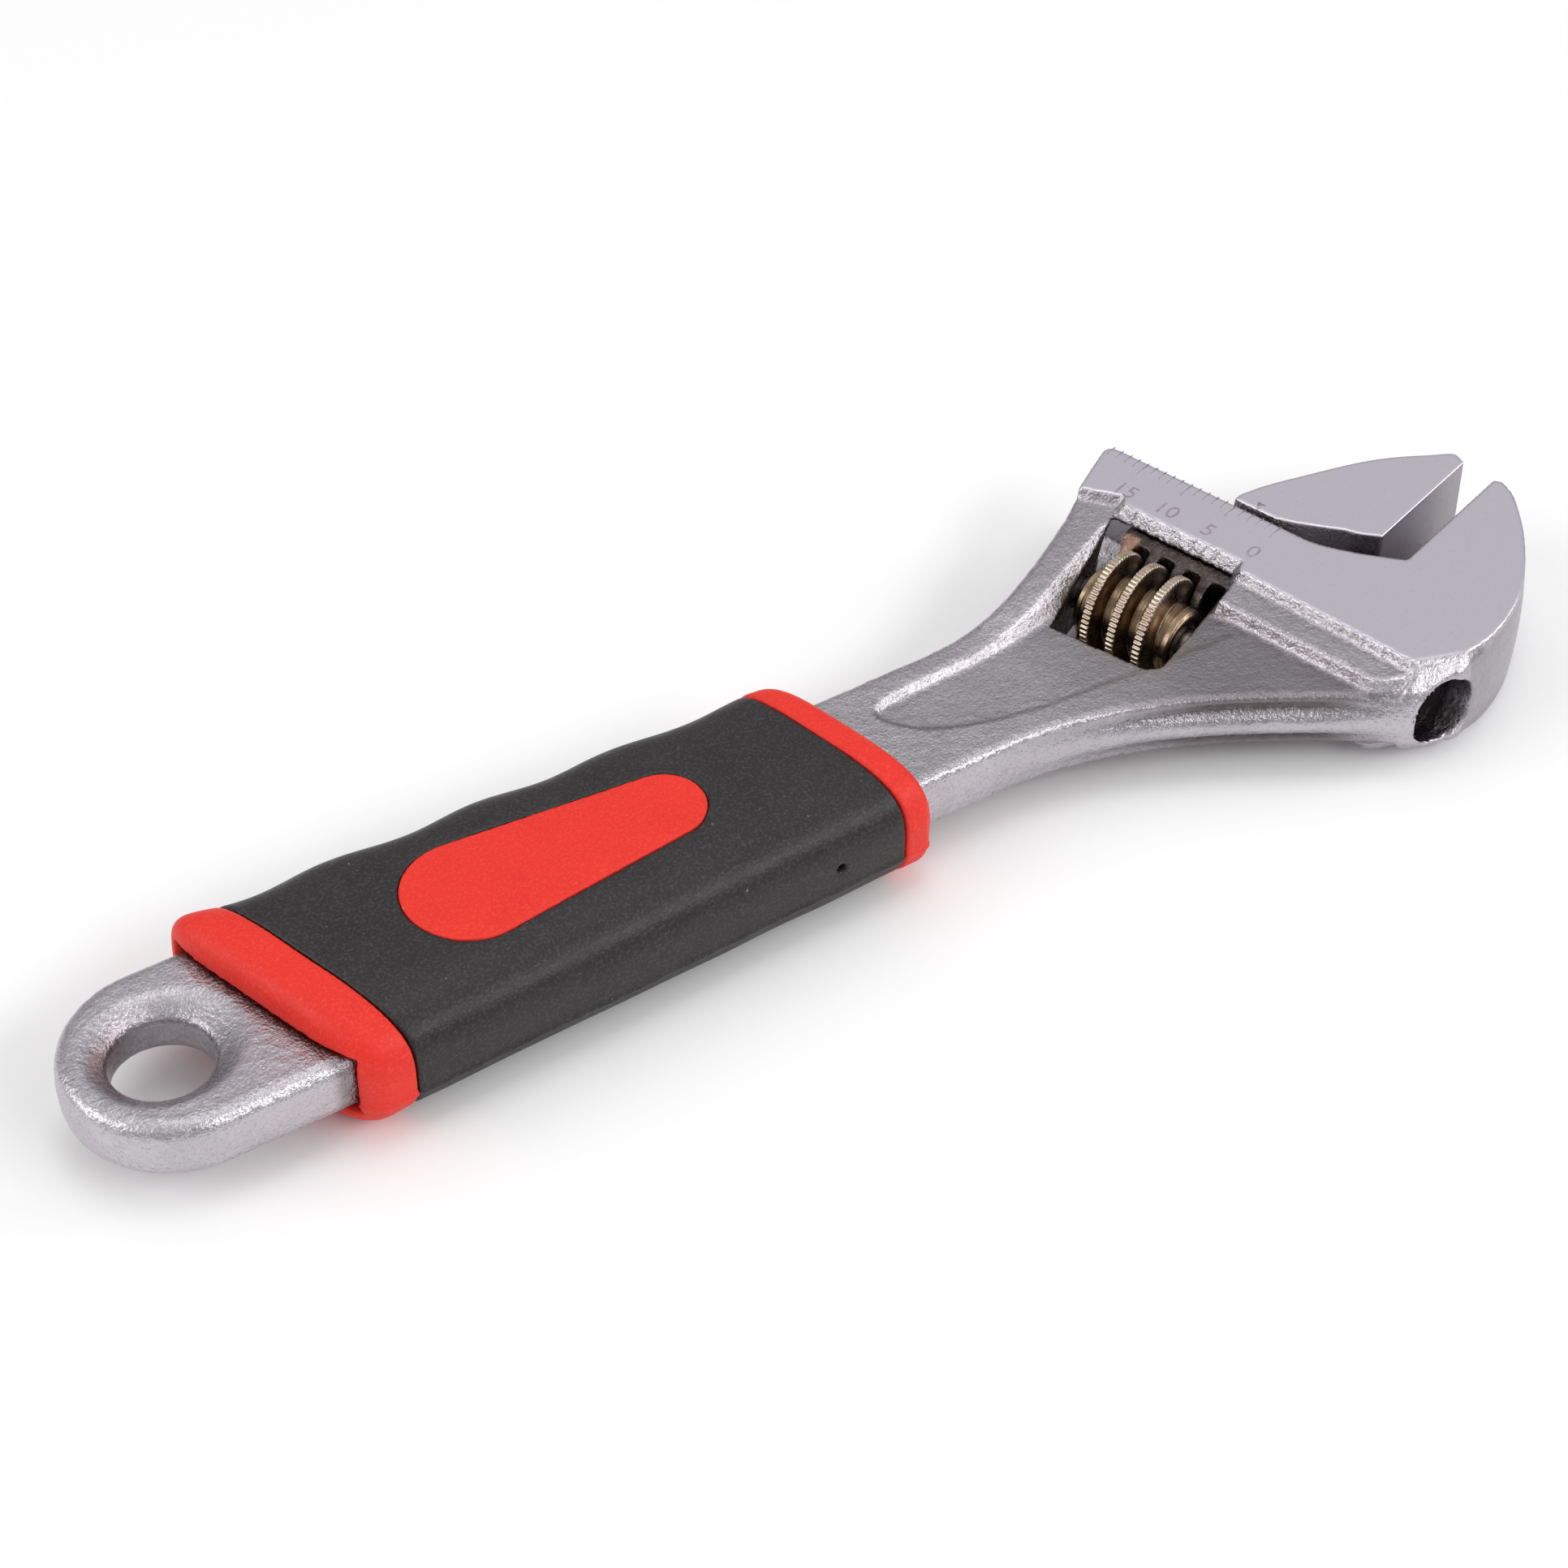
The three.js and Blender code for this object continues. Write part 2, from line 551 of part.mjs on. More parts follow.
function makeSpring() {
  const end = WORM_BACK_S + COUNTERBORE_DEPTH - SPRING_WIRE_RADIUS - PIN_CLEARANCE;
  const wall = windowBackAt(WORM_J - SPRING_RADIUS);
  const start = wall + SPRING_WIRE_RADIUS + SPRING_CLEARANCE;
  const points = [];
  const steps = Math.round(SPRING_TURNS * 14);
  for (let i = 0; i <= steps; i += 1) {
    const angle = (2 * Math.PI * SPRING_TURNS * i) / steps;
    points.push(new THREE.Vector3(
      start + ((end - start) * i) / steps,
      WORM_J + SPRING_RADIUS * Math.cos(angle),
      SPRING_RADIUS * Math.sin(angle),
    ));
  }
  const wire = new THREE.Shape();
  wire.absarc(0, 0, SPRING_WIRE_RADIUS, 0, 2 * Math.PI, false);
  const geometry = new THREE.ExtrudeGeometry(wire, {
    steps,
    curveSegments: 6,
    bevelEnabled: false,
    extrudePath: new THREE.CatmullRomCurve3(points),
  });
  return meshOf('worm_spring', geometry, SPRING_STEEL);
}

// ---------- grip ----------

function gripHalfWidth(x) {
  const share = (x - GRIP_REAR_X) / (GRIP_FRONT_X - GRIP_REAR_X);
  return THREE.MathUtils.lerp(GRIP_REAR_HALF, GRIP_FRONT_HALF, share);
}

function gripFarEdge(x) {
  const wave = Math.cos((2 * Math.PI * (x - GRIP_REAR_X - WAVE_START)) / WAVE_PITCH);
  return gripHalfWidth(x) - WAVE_HEIGHT + WAVE_HEIGHT * wave;
}

// x of a slanted end's line at a given y
function slanted(x, slant, y) {
  return x - y * Math.tan(THREE.MathUtils.degToRad(slant));
}

// one closed section of the grip, rounded at its four corners; share 0 is the rear end and 1 the front
function gripSection(share, inset) {
  const x = THREE.MathUtils.lerp(GRIP_REAR_X, GRIP_FRONT_X, share);
  const slant = THREE.MathUtils.lerp(GRIP_REAR_SLANT, GRIP_FRONT_SLANT, share);
  const halfThickness = GRIP_THICKNESS / 2 - inset;
  const points = [];
  for (let corner = 0; corner < 4; corner += 1) {
    const far = corner === 0 || corner === 3;
    const above = corner < 2;
    const edge = far ? gripFarEdge(slanted(x, slant, GRIP_REAR_HALF)) : gripHalfWidth(x);
    const round = Math.min(GRIP_ROUNDING, halfThickness - 0.2);
    const middleY = (far ? 1 : -1) * (edge - inset - round);
    const middleZ = (above ? 1 : -1) * (halfThickness - round);
    for (let step = 0; step <= CORNER_STEPS; step += 1) {
      const angle = (Math.PI / 2) * (corner + step / CORNER_STEPS);
      const y = middleY + round * Math.cos(angle);
      points.push(new THREE.Vector3(slanted(x, slant, y), y, middleZ + round * Math.sin(angle)));
    }
  }
  return points;
}

// a closed body through rings of equally many points, with flat ends
function loft(rings) {
  const around = rings[0].length;
  const positions = rings.flat().flatMap((point) => point.toArray());
  const triangles = [];
  for (let ring = 0; ring + 1 < rings.length; ring += 1) {
    for (let i = 0; i < around; i += 1) {
      const a = ring * around + i;
      const b = ring * around + ((i + 1) % around);
      triangles.push(a, b, a + around, b, b + around, a + around);
    }
  }
  for (const [ring, turned] of [[0, true], [rings.length - 1, false]]) {
    const centre = positions.length / 3;
    const sum = rings[ring].reduce((total, p) => total.add(p), new THREE.Vector3());
    positions.push(...sum.divideScalar(around).toArray());
    for (let i = 0; i < around; i += 1) {
      const a = ring * around + i;
      const b = ring * around + ((i + 1) % around);
      triangles.push(centre, turned ? b : a, turned ? a : b);
    }
  }
  const geometry = new THREE.BufferGeometry();
  geometry.setAttribute('position', new THREE.Float32BufferAttribute(positions, 3));
  geometry.setIndex(triangles);
  return geometry;
}

function gripBlank() {
  const length = GRIP_FRONT_X - GRIP_REAR_X;
  const rings = [];
  const addEnd = (fromRear) => {
    for (let step = 0; step < END_STEPS; step += 1) {
      const angle = ((Math.PI / 2) * (fromRear ? step : END_STEPS - 1 - step)) / (END_STEPS - 1);
      const inset = GRIP_END_ROUNDING * (1 - Math.sin(angle));
      const along = GRIP_END_ROUNDING * (1 - Math.cos(angle));
      rings.push(gripSection(fromRear ? along / length : 1 - along / length, inset));
    }
  };
  addEnd(true);
  for (let step = 1; step < WAVE_STEPS; step += 1) {
    const along = THREE.MathUtils.lerp(GRIP_END_ROUNDING, length - GRIP_END_ROUNDING, step / WAVE_STEPS);
    rings.push(gripSection(along / length, 0));
  }
  addEnd(false);
  return toSolid(loft(rings));
}

// the hole through the grip that the shank fills
function shankCutter() {
  const rear = TAIL_WIDTH / 2 + GRIP_CLEARANCE;
  const front = SHANK_WIDTH / 2 + GRIP_CLEARANCE;
  const shape = polygon([
    [GRIP_REAR_X - GRIP_REAR_HALF, -rear],
    [GRIP_REAR_X + REAR_COLLAR_WIDTH, -rear],
    [GRIP_FRONT_X, -front],
    [GRIP_FRONT_X + GRIP_REAR_HALF, -front],
    [GRIP_FRONT_X + GRIP_REAR_HALF, front],
    [GRIP_FRONT_X, front],
    [GRIP_REAR_X + REAR_COLLAR_WIDTH, rear],
    [GRIP_REAR_X - GRIP_REAR_HALF, rear],
  ]);
  return toSolid(plate(shape, SHANK_THICKNESS + 2 * GRIP_CLEARANCE));
}

// a slanted slab across the handle from one line to another
function slab(fromX, fromSlant, toX, toSlant) {
  const reach = 2 * GRIP_REAR_HALF;
  return toSolid(plate(polygon([
    [slanted(fromX, fromSlant, -reach), -reach],
    [slanted(toX, toSlant, -reach), -reach],
    [slanted(toX, toSlant, reach), reach],
    [slanted(fromX, fromSlant, reach), reach],
  ]), 2 * GRIP_THICKNESS));
}

function badgeOutline(gap) {
  const rear = BADGE_REAR_RADIUS + gap;
  const front = BADGE_FRONT_RADIUS + gap;
  const rearX = GRIP_REAR_X + BADGE_START + BADGE_REAR_RADIUS;
  const frontX = GRIP_REAR_X + BADGE_START + BADGE_LENGTH - BADGE_FRONT_RADIUS;
  const lean = Math.asin((rear - front) / (frontX - rearX));
  const shape = new THREE.Shape();
  shape.absarc(rearX, 0, rear, Math.PI / 2 - lean, 1.5 * Math.PI + lean, false);
  shape.absarc(frontX, 0, front, 1.5 * Math.PI + lean, 2.5 * Math.PI - lean, false);
  return shape;
}

function makeBadge(name, side) {
  const geometry = plate(badgeOutline(0), BADGE_THICKNESS - BADGE_GAP);
  const middle = GRIP_THICKNESS / 2 - (BADGE_THICKNESS - BADGE_GAP) / 2;
  geometry.translate(0, 0, side * middle);
  return meshOf(name, geometry, RED_RUBBER);
}

function makeGrip() {
  const blank = gripBlank().subtract(shankCutter());
  const rearEdge = GRIP_REAR_X + REAR_COLLAR_WIDTH;
  const frontEdge = GRIP_FRONT_X - FRONT_COLLAR_WIDTH;
  const past = 20 * PAST;
  const rear = blank.intersect(
    slab(GRIP_REAR_X - past, GRIP_REAR_SLANT, rearEdge - COLLAR_GAP / 2, GRIP_REAR_SLANT),
  );
  const front = blank.intersect(
    slab(frontEdge + COLLAR_GAP / 2, GRIP_FRONT_SLANT, GRIP_FRONT_X + past, GRIP_FRONT_SLANT),
  );
  let sleeve = blank.intersect(
    slab(rearEdge + COLLAR_GAP / 2, GRIP_REAR_SLANT, frontEdge - COLLAR_GAP / 2, GRIP_FRONT_SLANT),
  );
  for (const side of [-1, 1]) {
    const recess = plate(badgeOutline(BADGE_GAP), 2 * BADGE_THICKNESS);
    recess.translate(0, 0, (side * GRIP_THICKNESS) / 2);
    sleeve = sleeve.subtract(toSolid(recess));
  }
  return [
    meshOf('rear_collar', toGeometry(rear), RED_RUBBER),
    meshOf('front_collar', toGeometry(front), RED_RUBBER),
    meshOf('grip_sleeve', toGeometry(sleeve), BLACK_RUBBER),
    makeBadge('badge_top', 1),
    makeBadge('badge_bottom', -1),
  ];
}

// ---------- the whole wrench ----------

const slideGroup = new THREE.Group();
slideGroup.applyMatrix4(jawFrame);
slideGroup.add(makeMovableJaw(), makeWorm(), makePin(), makeSpring());

const wrench = new THREE.Group();
wrench.add(makeBody(), slideGroup, ...makeGrip());

// set the wrench down: box centred over the origin, lowest point on z = 0
const bounds = new THREE.Box3().setFromObject(wrench, true);
const middle = bounds.getCenter(new THREE.Vector3());
wrench.position.set(-middle.x, -middle.y, -bounds.min.z);

export default wrench;
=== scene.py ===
import json
import math

import bpy
import numpy as np
from mathutils import Matrix, Vector


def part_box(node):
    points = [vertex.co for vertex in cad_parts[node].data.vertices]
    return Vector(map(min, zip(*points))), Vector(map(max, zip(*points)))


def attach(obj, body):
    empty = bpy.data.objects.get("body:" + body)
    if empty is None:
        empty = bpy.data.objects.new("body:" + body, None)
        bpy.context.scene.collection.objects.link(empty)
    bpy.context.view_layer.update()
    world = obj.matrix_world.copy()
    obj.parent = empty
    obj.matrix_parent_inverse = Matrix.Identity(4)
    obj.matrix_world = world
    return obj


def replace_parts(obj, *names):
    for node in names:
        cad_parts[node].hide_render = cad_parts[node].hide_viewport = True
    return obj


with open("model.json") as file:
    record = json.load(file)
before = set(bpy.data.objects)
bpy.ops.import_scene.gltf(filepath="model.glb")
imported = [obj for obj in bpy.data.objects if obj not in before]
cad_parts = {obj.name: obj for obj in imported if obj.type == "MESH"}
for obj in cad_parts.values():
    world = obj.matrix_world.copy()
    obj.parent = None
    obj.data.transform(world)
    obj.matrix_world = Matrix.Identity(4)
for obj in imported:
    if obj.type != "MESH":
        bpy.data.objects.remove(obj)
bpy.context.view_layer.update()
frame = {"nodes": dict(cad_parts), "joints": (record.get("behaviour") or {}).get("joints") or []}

# Lengths are millimetres while a piece is built, in one of two frames in the wrench's middle plane:
#   handle frame  x along the handle towards the head, y across it
#   jaw frame     s along the jaw's slide towards the fixed jaw, j from the worm towards the jaw tips
MM = 0.001
joints = {joint["name"]: joint for joint in frame["joints"]}

# ---------- sizes of the CAD parts ----------

TAIL_CENTRE_X = -113.6
TAIL_WIDTH = 19.6
SHANK_WIDTH = 14.6
NECK_X = -35
SCALE_ZERO_Y = 1.6
HEAD_HALF = 5.2
STRIP_HALF = 4.2
SHANK_HALF = 2.9
HOLE_X = -114.8
HOLE_RADIUS = 4.4
FIXED_FACE_S = 11.3
MOVABLE_FACE_S = 8.0
JAW_BACK_S = -6.1
JAW_FOOT = 12.2
JAW_LENGTH = 14.1
JAW_REACH = 20.3
RAIL_BACK_S = -19.9
RAIL_J = 1.4
ROD_RADIUS = 3.5
ROD_J = -6.0
ROD_BACK_S = -12.2
ROD_LENGTH = 29.2
WEB_HALF = 1.8
BORE_CLEARANCE = 0.2
SLOT_END_S = 9.6
WORM_J = -13.2
WORM_RADIUS = 5.6
WORM_ROOT = 3.45
WORM_HUB = 3.3
WORM_PITCH = 2.87
WORM_BACK_S = -11.0
WORM_FRONT_S = -0.6
THREAD_START_S = -10.3
THREAD_END_S = -1.3
CREST_S = -9.56
PIN_RADIUS = 1.5
PIN_HEAD_RADIUS = 2.1
PIN_SHOULDER_S = -12.95
PIN_CLEARANCE = 0.2
PIN_END_S = 5
WINDOW = [(-13.8, -6.3), (-10.3, -20.9), (0.3, -20.9), (1.3, -19.9), (-0.5, -6.3)]
GRIP_HALF_THICKNESS = 5.9
GRIP_REAR_X = -106.1
GRIP_FRONT_X = -47.8
GRIP_REAR_HALF = 11.9
GRIP_FRONT_HALF = 10.0
GRIP_REAR_SLANT = math.radians(17)
GRIP_FRONT_SLANT = math.radians(14)
REAR_COLLAR = 5.1
FRONT_COLLAR = 3.4
BADGE_REAR = (-86.1, 5.9)
BADGE_FRONT = (-67.3, 3.9)

# ---------- frames ----------

body_low, body_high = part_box("body")
badge_low, badge_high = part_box("badge_top")
ORIGIN = np.array([
    body_low.x / MM - (TAIL_CENTRE_X - TAIL_WIDTH / 2),
    (badge_low.y + badge_high.y) / 2 / MM,
    (body_low.z + body_high.z) / 2 / MM,
])
ALONG = np.array(joints["worm_spin"]["axis"][:2], float)
ALONG /= np.linalg.norm(ALONG)
ACROSS = np.array([-ALONG[1], ALONG[0]])


def jaw_of(x, y):
    """Jaw-frame s and j of a handle-frame place."""
    y = y - SCALE_ZERO_Y
    return x * ALONG[0] + y * ALONG[1], x * ACROSS[0] + y * ACROSS[1]


def handle_of(s, j):
    """Handle-frame x and y of a jaw-frame place."""
    x = s * ALONG[0] + j * ACROSS[0]
    y = s * ALONG[1] + j * ACROSS[1] + SCALE_ZERO_Y
    return x, y


def from_jaw(points):
    return [handle_of(s, j) for s, j in points]


def world_of_handle(points):
    return (points + ORIGIN) * MM


def world_of_jaw(points):
    x, y = handle_of(points[:, 0], points[:, 1])
    return world_of_handle(np.stack([x, y, points[:, 2]], 1))


# ---------- distance fields: below zero inside ----------


def smooth_max(a, b, k):
    """The larger of two fields, with the edge between them rounded over about k."""
    h = np.maximum(k - np.abs(a - b), 0) / k
    return np.maximum(a, b) + h * h * k * 0.25


def smooth_min(a, b, k):
    return -smooth_max(-a, -b, k)


def ease(t):
    t = np.clip(t, 0, 1)
    return t * t * (3 - 2 * t)


def polygon_distance(x, y, points):
    """Signed distance from places to a closed outline."""
    x, y = np.broadcast_arrays(np.asarray(x, np.float32), np.asarray(y, np.float32))
    nearest = np.full(x.shape, 1e9, np.float32)
    inside = np.zeros(x.shape, bool)
    for (ax, ay), (bx, by) in zip(points, points[1:] + points[:1]):
        ex, ey = bx - ax, by - ay
        length = ex * ex + ey * ey
        if length < 1e-12:
            continue
        t = np.clip(((x - ax) * ex + (y - ay) * ey) / length, 0, 1)
        dx, dy = x - ax - t * ex, y - ay - t * ey
        np.minimum(nearest, dx * dx + dy * dy, out=nearest)
        if ay != by:
            crosses = ((ay > y) != (by > y)) & (x < ax + (y - ay) * ex / ey)
            inside ^= crosses
    distance = np.sqrt(nearest)
    return np.where(inside, -distance, distance)


def bezier(points, steps=14):
    """Points on a Bezier curve of any degree, without its first point."""
    made = []
    for i in range(1, steps + 1):
        t, row = i / steps, [np.array(p, float) for p in points]
        while len(row) > 1:
            row = [a + (b - a) * t for a, b in zip(row, row[1:])]
        made.append(tuple(row[0]))
    return made


def through(points, steps=6):
    """Points on a smooth curve through the given ones, without the first."""
    p = [np.array(q, float) for q in points]
    p = [2 * p[0] - p[1], *p, 2 * p[-1] - p[-2]]
    made = []
    for a, b, c, d in zip(p, p[1:], p[2:], p[3:]):
        for i in range(1, steps + 1):
            t = i / steps
            made.append(tuple(
                0.5 * (2 * b + (c - a) * t + (2 * a - 5 * b + 4 * c - d) * t * t
                       + (3 * b - a - 3 * c + d) * t ** 3)
            ))
    return made


def arc(x, y, radius, start, end, steps=40):
    angles = np.linspace(start, end, steps + 1)
    return [(x + radius * math.cos(a), y + radius * math.sin(a)) for a in angles]


RIPPLE_WAVES = 9
RIPPLE_RANGE = 4


def ripple(x, y, z, size, seed):
    """Smooth lumps between about -1 and 1: a sum of sines in random directions."""
    rng = np.random.default_rng(seed)
    total = 0
    for _ in range(RIPPLE_WAVES):
        direction = rng.normal(size=3)
        direction /= np.linalg.norm(direction)
        wave = 2 * math.pi / (size * rng.uniform(0.7, 1.6))
        phase = rng.uniform(0, 2 * math.pi)
        along = x * direction[0] + y * direction[1] + z * direction[2]
        total = total + np.sin(wave * along + phase)
    return total / RIPPLE_RANGE


# ---------- meshes from fields ----------

CELL = 0.22
JAW_CELL_SHARE = 0.8
BADGE_CELL = 0.16
SMOOTHING = (0.5, -0.515)  # a step inwards, and the step back out


def surface_net(field, low, high, cell):
    """Vertices and four-sided faces on the zero level of a field over a box."""
    axes = [np.arange(low[i], high[i] + cell, cell, dtype=np.float32) for i in range(3)]
    f = field(axes[0][:, None, None], axes[1][None, :, None], axes[2][None, None, :])
    f = np.ascontiguousarray(np.broadcast_to(f, [len(a) for a in axes]), np.float32)
    cells = np.array(f.shape) - 1
    strides = np.array([cells[1] * cells[2], cells[2], 1])
    total = int(np.prod(cells))
    count = np.zeros(total, np.float32)
    place = [np.zeros(total, np.float32) for _ in range(3)]
    edges = []
    for axis in range(3):
        first = [slice(None)] * 3
        second = [slice(None)] * 3
        first[axis] = slice(0, -1)
        second[axis] = slice(1, None)
        a, b = f[tuple(first)], f[tuple(second)]
        crossing = np.nonzero((a < 0) != (b < 0))
        fa, fb = a[crossing], b[crossing]
        at = np.stack(crossing, 1).astype(np.float32)
        at[:, axis] += fa / (fa - fb)
        index = np.stack(crossing, 1)
        u, v = (axis + 1) % 3, (axis + 2) % 3
        across, up = index[:, u], index[:, v]
        inner = (across > 0) & (up > 0) & (across < cells[u]) & (up < cells[v])
        at, index, fa = at[inner], index[inner], fa[inner]
        around = []
        for du, dv in ((-1, -1), (0, -1), (0, 0), (-1, 0)):
            shifted = index.copy()
            shifted[:, u] += du
            shifted[:, v] += dv
            flat = shifted @ strides
            around.append(flat)
            count += np.bincount(flat, minlength=total)
            for i in range(3):
                place[i] += np.bincount(flat, weights=at[:, i], minlength=total).astype(np.float32)
        quad = np.stack(around, 1)
        edges.append(np.where((fa < 0)[:, None], quad, quad[:, ::-1]))
    used = np.nonzero(count)[0]
    number = np.full(total, -1, np.int64)
    number[used] = np.arange(len(used))
    points = np.stack([place[i][used] / count[used] * cell + low[i] for i in range(3)], 1)
    return points, number[np.concatenate(edges)]


def smooth_points(points, faces, rounds):
    """Moves points towards the mean of their neighbours and back out, so that nothing shrinks."""
    pairs = np.concatenate([faces[:, [i, (i + 1) % 4]] for i in range(4)])
    pairs = np.concatenate([pairs, pairs[:, ::-1]])
    degree = np.bincount(pairs[:, 0], minlength=len(points))
    for step in range(rounds):
        mean = np.stack([
            np.bincount(pairs[:, 0], weights=points[pairs[:, 1], i], minlength=len(points))
            for i in range(3)
        ], 1) / degree[:, None]
        points = points + SMOOTHING[step % 2] * (mean - points)
    return points


def mesh_object(name, points, faces, body, material):
    """A smooth-shaded object from world points in metres and equally long faces."""
    mesh = bpy.data.meshes.new(name)
    sides = faces.shape[1]
    mesh.vertices.add(len(points))
    mesh.vertices.foreach_set("co", np.asarray(points, np.float32).ravel())
    mesh.loops.add(faces.size)
    mesh.loops.foreach_set("vertex_index", faces.astype(np.int32).ravel())
    mesh.polygons.add(len(faces))
    mesh.polygons.foreach_set("loop_start", np.arange(0, faces.size, sides, dtype=np.int32))
    mesh.polygons.foreach_set("use_smooth", np.ones(len(faces), bool))
    mesh.update(calc_edges=True)
    mesh.validate()
    piece = bpy.data.objects.new(name, mesh)
    bpy.context.scene.collection.objects.link(piece)
    mesh.materials.append(material)
    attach(piece, body)
    return piece


def point_value(piece, name, values):
    attribute = piece.data.attributes.new(name, "FLOAT", "POINT")
    attribute.data.foreach_set("value", np.asarray(values, np.float32))


# ---------- materials ----------


class Nodes:
    """A short way to write a node tree."""

    def __init__(self, material):
        material.use_nodes = True
        self.tree = material.node_tree
        self.shader = self.tree.nodes["Principled BSDF"]

    def feed(self, socket, value):
        if isinstance(value, bpy.types.NodeSocket):
            self.tree.links.new(value, socket)
        else:
            socket.default_value = value

    def add(self, kind, inputs=None, **settings):
        node = self.tree.nodes.new(kind)
        for key, value in settings.items():
            setattr(node, key, value)
        for key, value in (inputs or {}).items():
            self.feed(node.inputs[key], value)
        return node

    def place(self):
        return self.add("ShaderNodeTexCoord").outputs["Object"]

    def noise(self, scale, detail=2, roughness=0.5, vector=None):
        return self.add("ShaderNodeTexNoise", {
            "Vector": vector or self.place(), "Scale": scale, "Detail": detail, "Roughness": roughness,
        }).outputs["Fac"]

    def stretched(self, scale):
        mapping = self.add("ShaderNodeMapping", {"Vector": self.place(), "Scale": scale})
        return mapping.outputs["Vector"]

    def math(self, operation, a, b=0.0):
        return self.add("ShaderNodeMath", {0: a, 1: b}, operation=operation).outputs[0]

    def spread(self, value, low, high, out_low=0.0, out_high=1.0):
        """The value, with low to high carried over to out_low to out_high and held beyond."""
        return self.add("ShaderNodeMapRange", {
            "Value": value, "From Min": low, "From Max": high, "To Min": out_low, "To Max": out_high,
        }).outputs["Result"]

    def mix(self, factor, a, b):
        """Colour a, going over to b as the factor rises."""
        node = self.add("ShaderNodeMix", data_type="RGBA")
        for key, value in ((0, factor), (6, a), (7, b)):
            self.feed(node.inputs[key], value)
        return node.outputs[2]

    def bump(self, height, distance, strength=1.0, before=None):
        inputs = {"Height": height, "Distance": distance, "Strength": strength}
        if before is not None:
            inputs["Normal"] = before
        return self.add("ShaderNodeBump", inputs).outputs["Normal"]

    def attribute(self, name):
        return self.add("ShaderNodeAttribute", attribute_name=name).outputs["Fac"]

    def set(self, **sockets):
        """Feeds the shader's sockets, named with _ for a space."""
        for key, value in sockets.items():
            self.feed(self.shader.inputs[key.replace("_", " ")], value)


def rgb(r, g, b):
    return (r, g, b, 1.0)


LIGHT_CHROME = rgb(0.685, 0.66, 0.74)
DARK_CHROME = rgb(0.6, 0.57, 0.61)
SHADED_CHROME = rgb(0.5, 0.475, 0.51)
PIT = rgb(0.24, 0.215, 0.215)
SPECK = rgb(0.3, 0.27, 0.27)
DULLED = rgb(0.24, 0.218, 0.228)
# near-black brown used as painted shade in recesses, under the rail and on the end wall
PAINTED_SHADE_TONE = rgb(0.065, 0.05, 0.044)
COPPER = rgb(0.46, 0.27, 0.2)
BRONZE_DARK = rgb(0.27, 0.185, 0.12)
BRONZE_LIGHT = rgb(0.46, 0.35, 0.235)
BRONZE_ROOT = rgb(0.13, 0.085, 0.05)
BRONZE_WORN = rgb(0.62, 0.53, 0.45)
STEEL_DARK = rgb(0.22, 0.2, 0.19)
STEEL_LIGHT = rgb(0.4, 0.38, 0.37)
PALE_FLECK = rgb(0.4, 0.38, 0.36)
MARK_DARK = rgb(0.4, 0.36, 0.38)
MARK_LIGHT = rgb(0.56, 0.51, 0.54)


def forged_chrome(name):
    """Satin chrome over a finely pitted forged skin, with smoother, lined ground faces."""
    material = bpy.data.materials.new(name)
    n = Nodes(material)
    ground, dull, painted_shade = n.attribute("ground"), n.attribute("dull"), n.attribute("painted_shade")
    skin = n.math("SUBTRACT", 1.0, ground)
    grain = n.noise(3300, 3, 0.6)
    coarse = n.noise(1500, 2, 0.5)
    lined = n.noise(1.0, 3, 0.6, n.stretched((600, 600, 2500)))
    patches = n.spread(n.noise(160, 4, 0.6), 0.3, 0.7)
    tone = n.mix(skin, LIGHT_CHROME, n.mix(patches, SHADED_CHROME, DARK_CHROME))
    pits = n.math("MULTIPLY", n.spread(grain, 0.32, 0.48, 0.38, 0.0), skin)
    tone = n.mix(pits, tone, PIT)
    speck = n.spread(n.noise(2600, 2, 0.7), 0.28, 0.36, 0.2, 0.0)
    tone = n.mix(speck, tone, SPECK)
    tone = n.mix(n.math("MULTIPLY", dull, 0.8), tone, DULLED)
    # painted shade: the skin goes towards the near-black brown where the point attribute asks for it,
    # mottled by noise
    painted_shade_mix = n.math("MULTIPLY", painted_shade, n.spread(n.noise(900, 3, 0.6), 0.3, 0.6, 0.8, 1.0))
    tone = n.mix(painted_shade_mix, tone, PAINTED_SHADE_TONE)
    tone = n.mix(n.attribute("copper"), tone, COPPER)
    rough = n.math("ADD", n.spread(grain, 0.3, 0.7, 0.19, 0.31), n.math("MULTIPLY", ground, 0.12))
    rough = n.math("ADD", rough, n.math("MULTIPLY", dull, 0.08))
    normal = n.bump(grain, 0.00011, n.spread(skin, 0, 1, 0.03, 0.9))
    normal = n.bump(coarse, 0.0001, n.math("MULTIPLY", skin, 0.75), normal)
    normal = n.bump(n.noise(7000, 2, 0.5), 0.000012, n.spread(skin, 0, 1, 0.25, 0.7), normal)
    normal = n.bump(lined, 0.000006, n.math("MULTIPLY", ground, 0.35), normal)
    n.set(Base_Color=tone, Metallic=1.0, Roughness=rough, Normal=normal)
    return material


def bronze(name):
    """Antique bronze toned plating, worn bright on the crests and dark in the grooves."""
    material = bpy.data.materials.new(name)
    n = Nodes(material)
    crest, root = n.attribute("crest"), n.attribute("root")
    tone = n.mix(n.spread(n.noise(700, 4, 0.6), 0.35, 0.65), BRONZE_DARK, BRONZE_LIGHT)
    tone = n.mix(n.math("MULTIPLY", root, 0.7), tone, BRONZE_ROOT)
    worn = n.math("MULTIPLY", crest, n.spread(n.noise(1300, 3, 0.6), 0.35, 0.6, 0.25, 0.8))
    tone = n.mix(worn, tone, BRONZE_WORN)
    rough = n.spread(n.noise(1500, 3, 0.6), 0.3, 0.7, 0.2, 0.36)
    normal = n.bump(n.noise(2600, 3, 0.6), 0.00003, 0.8)
    n.set(Base_Color=tone, Metallic=1.0, Roughness=rough, Normal=normal)
    return material


